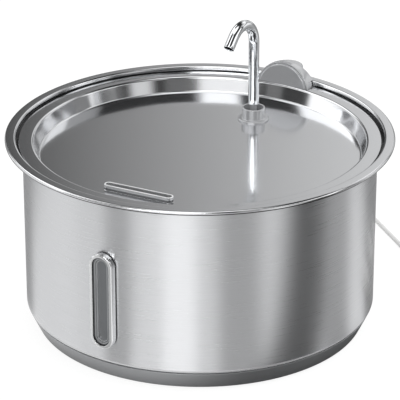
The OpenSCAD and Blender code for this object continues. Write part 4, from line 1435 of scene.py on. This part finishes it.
@dataclass
class Tray(SubAssembly):
    """Steel dish with a flat ring, a raised return slot and a hole for the collar."""

    body: ClassVar[str] = "tray"

    sheet: float = 0.8
    ring_z: float = 115.1
    ring_r: float = 106.9
    dish_r: float = 98.35
    floor_r: float = 95.2
    floor_z: float = 105.9
    bend: float = 1.2
    eased: float = 0.15
    faucet: Flat = (1.6, 60.4)
    hole_r: float = 7.0
    notch: float = 18.8
    notch_r: float = 99.2
    slot_at: Flat = (3.4, -73.0)
    slot_turn: float = 4.0
    slot_size: Flat = (5.6, 44.0)
    slot_h: float = 3.3
    slot_wall: float = 1.0
    slot_foot: float = 1.5
    slot_lip: float = 0.35

    def dish(self) -> bpy.types.Object:
        """Turn the dish and cut the collar's hole, the slot and the notch.

        Returns:
            The dish.
        """
        h, e, top_z, low_z = self.sheet / 2, self.eased, self.ring_z, self.ring_z - self.sheet
        slope = math.atan2(self.ring_z - self.floor_z, self.dish_r - self.floor_r)
        move = h * math.tan(slope / 2)
        path = rounded([(0, self.floor_z - h), (self.floor_r + move, self.floor_z - h),
                        (self.dish_r + move, top_z - h), (self.ring_r, top_z - h)],
                       [self.bend + h, self.bend], 10)
        path = divided(path, 6.0)
        top, under = side_of(path, h), side_of(path, -h)
        section = [*top[:-1], (self.ring_r - e, top_z), (self.ring_r, top_z - e),
                   (self.ring_r, low_z + e), (self.ring_r - e, low_z), *under[-2::-1]]
        dish = revolve("tray_dish", section, sides=288)
        hole = revolve("hole", [(0, 100), (self.hole_r, 100), (self.hole_r, 110), (0, 110)],
                       self.faucet, 64)
        slot = loft("slot", [self.slot_ring(self.slot_wall, z) for z in (100.0, 112.0)])
        cut(dish, hole, slot, self.notch_block())
        return dish

    def notch_block(self) -> bpy.types.Object:
        """Cutter of the notch in the ring, round inside and straight at its sides.

        Returns:
            The cutter.
        """
        limit = math.asin(self.notch / self.notch_r)
        outline = [(y, x) for x, y in arc(self.notch_r, -limit, limit, 24)]
        outline += [(self.notch, 120.0), (-self.notch, 120.0)]
        return loft("notch", [lying(outline, (0.0, 0.0), z) for z in (112.1, 118.0)])

    def slot_ring(self, inset: float, z: float) -> Ring:
        """Ring of the slot's collar.

        Args:
            inset: How far it lies inside the collar's outside.
            z: Its height.

        Returns:
            Points of the ring.
        """
        c, s = math.cos(math.radians(self.slot_turn)), math.sin(math.radians(self.slot_turn))
        outline = stadium(self.slot_size[0] - 2 * inset, self.slot_size[1] - 2 * inset)
        return lying([(-p.y * c - p.x * s, p.x * c - p.y * s) for p in outline], self.slot_at, z)

    def slot_collar(self) -> bpy.types.Object:
        """Loft the drawn collar with a soft foot and a rounded lip.

        Returns:
            The collar of the slot.
        """
        base, top, w, lip = self.floor_z, self.floor_z + self.slot_h, self.slot_wall, self.slot_lip
        steps = [(-0.3, base - 0.3), *fillet((-0.3, base + 0.01), (0.0, base + 0.3), False, 4),
                 (0.0, base + self.slot_foot), *fillet((0.0, top - lip), (lip, top), True),
                 *fillet((w - lip, top), (w, top - lip), False), (w, base - self.sheet - 0.02)]
        return loft("slot_collar", [self.slot_ring(a, b) for a, b in steps], caps=False)

    def zone(self, middle: Vector, normal: Vector) -> int:
        """Finish of a face: satin, polished wall, or the slot's inside, a painted reflection on its
        side, painted shade at its foot or a painted highlight on its lip.

        Args:
            middle: The face's middle in millimetres.
            normal: Its normal.

        Returns:
            The material's number.
        """
        slot_top = self.floor_z + self.slot_h
        if abs(normal.z) > 0.8 and middle.z < slot_top - 0.4:
            return 0
        if middle.z > slot_top + 0.1:
            return 0 if abs(normal.z) > 0.8 else 1
        t = math.radians(self.slot_turn)
        x, y = middle.x - self.slot_at[0], middle.y - self.slot_at[1]
        along, across = x * math.cos(t) + y * math.sin(t), y * math.cos(t) - x * math.sin(t)
        half = (self.slot_size[1] - self.slot_size[0]) / 2
        away = math.hypot(across, max(0.0, abs(along) - half))
        if away < self.slot_size[0] / 2 - self.slot_wall + 0.1:
            return 2
        if away > self.slot_size[0] / 2 + 0.2:
            return 1
        # painted highlight on the lip, painted shade at the foot, painted reflection on the side
        # between
        if middle.z > slot_top - self.slot_lip - 0.01:
            return 5
        return 4 if middle.z < self.floor_z + self.slot_foot else 3

    def parts(self) -> list[Part]:
        """Build the tray.

        Returns:
            The one piece.
        """
        tray = joined("tray_steel", self.dish(), self.slot_collar())
        tray.data.set_sharp_from_angle(angle=math.radians(SHARP))
        return [Part(weighted(tray), Slot.TRAY_STEEL, ("tray",),
                     (Slot.TRAY_STEEL, Skin.POLISHED, Skin.SHEARED, Skin.SIDE, Skin.FOOT,
                      Skin.LIP), self.zone)]


@dataclass
class Collar(SubAssembly):
    """Grey collar round the faucet's foot, the nut under it and the riser pipe."""

    body: ClassVar[str] = "tray"

    at: Flat = (1.6, 60.4)
    floor_z: float = 105.9
    radius: float = 7.05
    neck_r: float = 6.9
    bore_r: float = 5.95
    height: float = 7.8
    flange_r: float = 9.5
    flange_t: float = 1.1
    low: float = 101.1
    web_z: float = 104.1
    riser_r: float = 3.0
    riser_wall: float = 1.0
    riser_low: float = 60.0
    nipple_r: float = 2.0
    nipple_wall: float = 0.8
    nipple_top: float = 126.8
    nut_r: float = 10.5
    nut_top: float = 105.05

    def collar(self) -> bpy.types.Object:
        """Turn the collar with rounded edges.

        Returns:
            The collar.
        """
        f, top, flange = self.floor_z, self.floor_z + self.height, self.floor_z + self.flange_t
        section = [(self.riser_r, self.low), (self.neck_r, self.low), (self.neck_r, f),
                   (self.flange_r, f),
                   *fillet((self.flange_r, f + 0.5), (self.flange_r - 0.6, flange), True),
                   *fillet((self.radius + 0.5, flange), (self.radius, flange + 0.5), False, 4),
                   *fillet((self.radius, top - 0.45), (self.radius - 0.45, top), True),
                   *fillet((self.bore_r + 0.3, top), (self.bore_r, top - 0.3), False, 4),
                   (self.bore_r, self.web_z), (self.riser_r, self.web_z)]
        return revolve("collar_moulded", section, self.at, 96)

    def nut(self) -> bpy.types.Object:
        """Loft the eight-sided nut with eased edges.

        Returns:
            The nut.
        """
        ease, rings = 0.6, []
        for r, z in ((self.nut_r - ease, self.low), (self.nut_r, self.low + ease),
                     (self.nut_r, self.nut_top - ease), (self.nut_r - ease, self.nut_top)):
            angles = (math.radians(45 * i + d) for i in range(8) for d in (-3, 3))
            rings.append(lying([(r * math.cos(t), r * math.sin(t)) for t in angles], self.at, z))
        nut = loft("collar_nut_moulded", rings)
        cut(nut, revolve("hole", [(0, 99), (self.neck_r, 99), (self.neck_r, 108), (0, 108)],
                         self.at, 64))
        return nut

    def riser(self) -> bpy.types.Object:
        """Turn the riser pipe and its nipple.

        Returns:
            The pipe.
        """
        z, r, n, top = self.web_z, self.riser_r, self.nipple_r, self.nipple_top
        section = [(r - self.riser_wall, self.riser_low), (r, self.riser_low), (r, z), (n, z),
                   *fillet((n, top - 0.5), (n - 0.4, top), True, 4),
                   (n - self.nipple_wall, top), (n - self.nipple_wall, z - 1),
                   (r - self.riser_wall, z - 2)]
        return revolve("riser_pipe_moulded", section, self.at, 64)

    def parts(self) -> list[Part]:
        """Build the collar, its nut and the riser.

        Returns:
            The three pieces.
        """
        return [Part(self.collar(), Slot.GREY_PLASTIC, ("collar",)),
                Part(self.nut(), Slot.GREY_PLASTIC, ("collar_nut",)),
                Part(self.riser(), Slot.GREY_PLASTIC, ("riser_pipe",))]


@dataclass
class Faucet(SubAssembly):
    """Thin chromed tube, upright and then bent over into a spout."""

    body: ClassVar[str] = "faucet"

    at: Flat = (1.6, 60.4)
    low: float = 115.8
    radius: float = 3.25
    bore: float = 2.75
    upright: float = 39.9
    bend_r: float = 14.5
    angle: float = 134.8
    spout: float = 7.5
    sides: int = 64

    def centre(self) -> list[tuple[Vector, Vector]]:
        """Centreline of the tube.

        Returns:
            Points with their directions.
        """
        x, y = self.at
        points = [(Vector((x, y, self.low + self.upright * i / 12)), Vector((0, 0, 1)))
                  for i in range(12)]
        for c, s in arc(1.0, 0.0, math.radians(self.angle), 48):
            points.append((Vector((x, y - self.bend_r * (1 - c),
                                   self.low + self.upright + self.bend_r * s)),
                           Vector((0, -s, c))))
        end, along = points[-1]
        return points + [(end + along * self.spout * i / 4, along) for i in range(1, 5)]

    def tube(self) -> bpy.types.Object:
        """Sweep the tube out, over its lip and back inside.

        Returns:
            The tube.
        """
        line = self.centre()
        side = Vector((1, 0, 0))
        lip = (self.radius - self.bore) / 2

        def ring(point: Vector, along: Vector, r: float, shift: float) -> Ring:
            """Ring about the centreline, moved along it.

            Args:
                point: Point of the centreline.
                along: Its direction.
                r: Radius of the ring.
                shift: How far it is moved.

            Returns:
                Points of the ring.
            """
            across = along.cross(side)
            return [point + along * shift + x * side + y * across
                    for x, y in arc(r, 0.0, 2 * math.pi, self.sides)[:-1]]

        rings = []
        for path, r, ease in ((line, self.radius, lip), (line[::-1], self.bore, -lip)):
            last = len(path) - 1
            rings += [ring(p, d, r, {0: ease, last: -ease}.get(i, 0.0))
                      for i, (p, d) in enumerate(path)]
            p, d = path[-1]
            turned = math.copysign(1.0, ease)
            rings += [ring(p, d, self.bore + lip + turned * c, turned * s - ease)
                      for c, s in arc(lip, 0.0, math.pi, 6)[1:-1]]
        return loft("faucet_spout", rings, caps=False, wrap=True, sharp=60)

    def parts(self) -> list[Part]:
        """Build the tube."""
        return [Part(self.tube(), Slot.FAUCET_CHROME, ("faucet_tube",))]


# ---------------------------------------------------------------- cord outlet


@dataclass
class CordOutlet(SubAssembly):
    """Round face inside the flange, block behind it, hood and strain relief outside."""

    middle: float = 111.0
    low: float = 102.0
    radius: float = 18.2
    face: float = 99.6
    back: float = 103.4
    block_back: float = 108.0
    block_low: float = 114.3
    block_top: float = 118.5
    block_r: float = 17.6
    block_deep: float = 109.6
    block_lean: float = 15.6
    tower_at: float = 105.9
    tower_r: float = 9.4
    tower_low: float = 118.1
    tower_top: float = 126.1
    ease: float = 1.2
    hood_w: float = 30.0
    hood_low: float = 98.0
    hood_top: float = 112.6
    hood_end: float = 114.6
    hood_r: float = 4.0
    wall_r: float = 104.9
    cord_y: float = 111.4
    screw_x: float = 11.5
    screw_z: float = 106.0
    screw_head: float = 4.6
    relief_top: float = 98.0
    relief_low: float = 78.0
    relief_pitch: float = 2.45

    def disc(self, r: float, distance: float) -> Ring:
        """Outline of the face on a bowl radius, cut level below.

        Args:
            r: Radius of the outline.
            distance: Bowl radius that it lies on.

        Returns:
            Points of the ring.
        """
        drop = self.middle - self.low
        end = math.asin(min(1.0, drop / r))
        flat = r * math.cos(end)
        outline = arc(r, -end, math.pi + end, 64) + [(x, -drop) for x in spaced(-flat, flat, 16)]
        return [Vector((x, math.sqrt(distance ** 2 - x * x), self.middle + z)) for x, z in outline]

    def front(self) -> bpy.types.Object:
        """Loft the front shell with its stepped, rounded edge.

        Returns:
            The front.
        """
        r, f = self.radius, self.face
        steps = [(r, self.back), *fillet((r, f + 1.6), (r - 0.5, f + 1.1), True, 4),
                 (r - 1.3, f + 1.1), (r - 1.4, f + 1.0),
                 *fillet((r - 1.4, f + 0.7), (r - 2.1, f), True)]
        return loft("outlet_front_moulded", [self.disc(a, b) for a, b in steps])

    def half_disc(self) -> bpy.types.Object:
        """Loft the thick half disc behind the face, leaning back and rounded at its edge.

        Returns:
            The half disc.
        """
        lean, base, rings = math.tan(math.radians(self.block_lean)), self.tower_low, []
        for ease, shift in [(0.0, None), *fillet((0.0, -1.0), (1.0, 0.0), True, 6)]:
            r, low = self.block_r - ease, base - self.middle
            first = math.asin(low / r)
            edge = r * math.cos(first)
            outline = arc(r, first, math.pi - first, 48)
            outline += [(x, low) for x in spaced(-edge, edge, 16)]
            rings.append([Vector((x, math.sqrt(self.back ** 2 - x * x) if shift is None else
                                  self.block_deep + shift - lean * (z - low), self.middle + z))
                          for x, z in outline])
        return loft("disc", rings)

    def saddle(self) -> bpy.types.Object:
        """Loft the foot of the block, which lies along the flange.

        Returns:
            The foot.
        """
        rings = []
        for z, ease in ((self.block_low, 0.0), (self.block_top - 0.5, 0.0), (self.block_top, 0.5)):
            half = math.sqrt((self.radius - 0.6) ** 2 - (z - self.middle) ** 2) - ease
            outline = []
            for r, way in ((self.back, 1), (self.block_back - ease, -1)):
                limit = way * math.asin(half / r)
                outline += [(y, x) for x, y in arc(r, -limit, limit, 20)]
            rings.append(lying(outline, (0.0, 0.0), z))
        return loft("saddle", rings)

    def tower(self) -> bpy.types.Object:
        """Loft the round tower, flattened where it meets the face.

        Returns:
            The tower.
        """
        top, a, rings = self.tower_top, self.back, []
        for ease, z in [(0.0, self.tower_low), *fillet((0.0, top - self.ease), (self.ease, top),
                                                       True, 6)]:
            r = self.tower_r - ease
            y = (a * a - r * r + self.tower_at ** 2) / (2 * self.tower_at) - self.tower_at
            first = math.atan2(y, math.sqrt(max(0.0, r * r - y * y)))
            ring = lying(arc(r, first, math.pi - first, 40), (0.0, self.tower_at), z)
            edge = ring[0].x
            rings.append(ring + [Vector((x, math.sqrt(a * a - x * x), z))
                                 for x in spaced(-edge, edge, 16)])
        return loft("tower", rings)

    def hood(self) -> bpy.types.Object:
        """Loft the hood against the wall, with rounded edges and recesses for its screws.

        Returns:
            The hood.
        """
        def outline(ease: float, z: float) -> Ring:
            """Plan of the hood, moved in.

            Args:
                ease: How far it is moved.
                z: Its height.

            Returns:
                Points of the ring.
            """
            half, end, r = self.hood_w / 2 - ease, self.hood_end - ease, self.hood_r
            right = [(half - r + x, end - r + y) for x, y in arc(r, 0.0, math.pi / 2, 8)]
            inner = [-half + 2 * half * i / 20 for i in range(21)]
            return lying(right + [(-x, y) for x, y in right[::-1]]
                         + [(x, math.sqrt(self.wall_r ** 2 - x * x)) for x in inner],
                         (0.0, 0.0), z)

        low, top, e = self.hood_low, self.hood_top, self.ease
        steps = fillet((e, low), (0.0, low + e), False) + fillet((0.0, top - e), (e, top), True)
        hood = loft("outlet_hood_moulded", [outline(a, b) for a, b in steps])
        recess = stadium(self.screw_head, self.screw_head + 0.02, 16)
        cut(hood, *(loft("recess", [standing(recess, (s * self.screw_x, self.screw_z), y)
                                    for y in (self.hood_end - 1.6, 120.0)]) for s in (-1, 1)))
        return weighted(hood)

    def relief(self) -> bpy.types.Object:
        """Turn the strain relief, slotted so that it bends evenly.

        Returns:
            The relief.
        """
        top, low = self.relief_top, self.relief_low
        section = [(0.0, low), (1.55, low), *fillet((1.55, low), (1.8, low + 0.3), False, 3)]
        for i in range(7):
            z = low + 1.6 + i * self.relief_pitch
            a, b = (1.8 + 1.7 * (h - low) / (top - low) for h in (z, z + 1.3))
            section += [(a, z), (a - 0.55, z + 0.15), (b - 0.55, z + 1.15), (b, z + 1.3)]
        section += [(3.5, top - 0.3), (3.3, top - 0.1), (2.2, top - 0.1), (2.2, top + 2.4),
                    (0.0, top + 2.4)]
        return revolve("strain_relief_ribbed", section, (0.0, self.cord_y), 48)

    def parts(self) -> list[Part]:
        """Build the front, the block, the hood and the strain relief.

        Returns:
            The four pieces.
        """
        return [Part(self.front(), Slot.GREY_PLASTIC, ("outlet_front",)),
                Part(joined("outlet_block_moulded", self.saddle(), self.tower(),
                            self.half_disc()), Slot.GREY_PLASTIC, ("outlet_block",)),
                Part(self.hood(), Slot.GREY_PLASTIC, ("outlet_hood",)),
                Part(self.relief(), Slot.CORD_WHITE, ("strain_relief",))]


# ---------------------------------------------------------------- the part's own solids


def dress_solids(frame: dict[str, Any], finishes: dict[Enum, bpy.types.Material]) -> None:
    """Give every solid of the part the finish of its slot.

    Args:
        finishes: The fountain's materials.
    """
    slots = {row["node"]: row["material_slot"] for row in frame["record"]["subparts"]}
    for name, obj in frame["nodes"].items():
        material = finishes[Slot[slots[name].upper()]]
        if not obj.material_slots:
            obj.data.materials.append(material)
        for holder in obj.material_slots:
            holder.material = material


def main() -> None:
    """Build the studio and every sub-assembly in order."""
    logging.basicConfig(level=logging.INFO, format="%(message)s")
    studio = Studio()
    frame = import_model()
    studio.camera()
    finishes = {choice: choice.value.build() for choice in (*Slot, *Skin)}
    dress_solids(frame, finishes)
    steps: dict[str, SubAssembly] = {
        "power cord": PowerCord(), "bowl": Bowl(), "base": Base(), "level window": LevelWindow(),
        "tray": Tray(), "collar": Collar(), "faucet": Faucet(), "cord outlet": CordOutlet()}
    for name, step in steps.items():
        step.build(finishes)
        LOG.info("built %s", name)
    studio.world()
    studio.floor()
    studio.lamps()


if __name__ == "__main__":
    main()
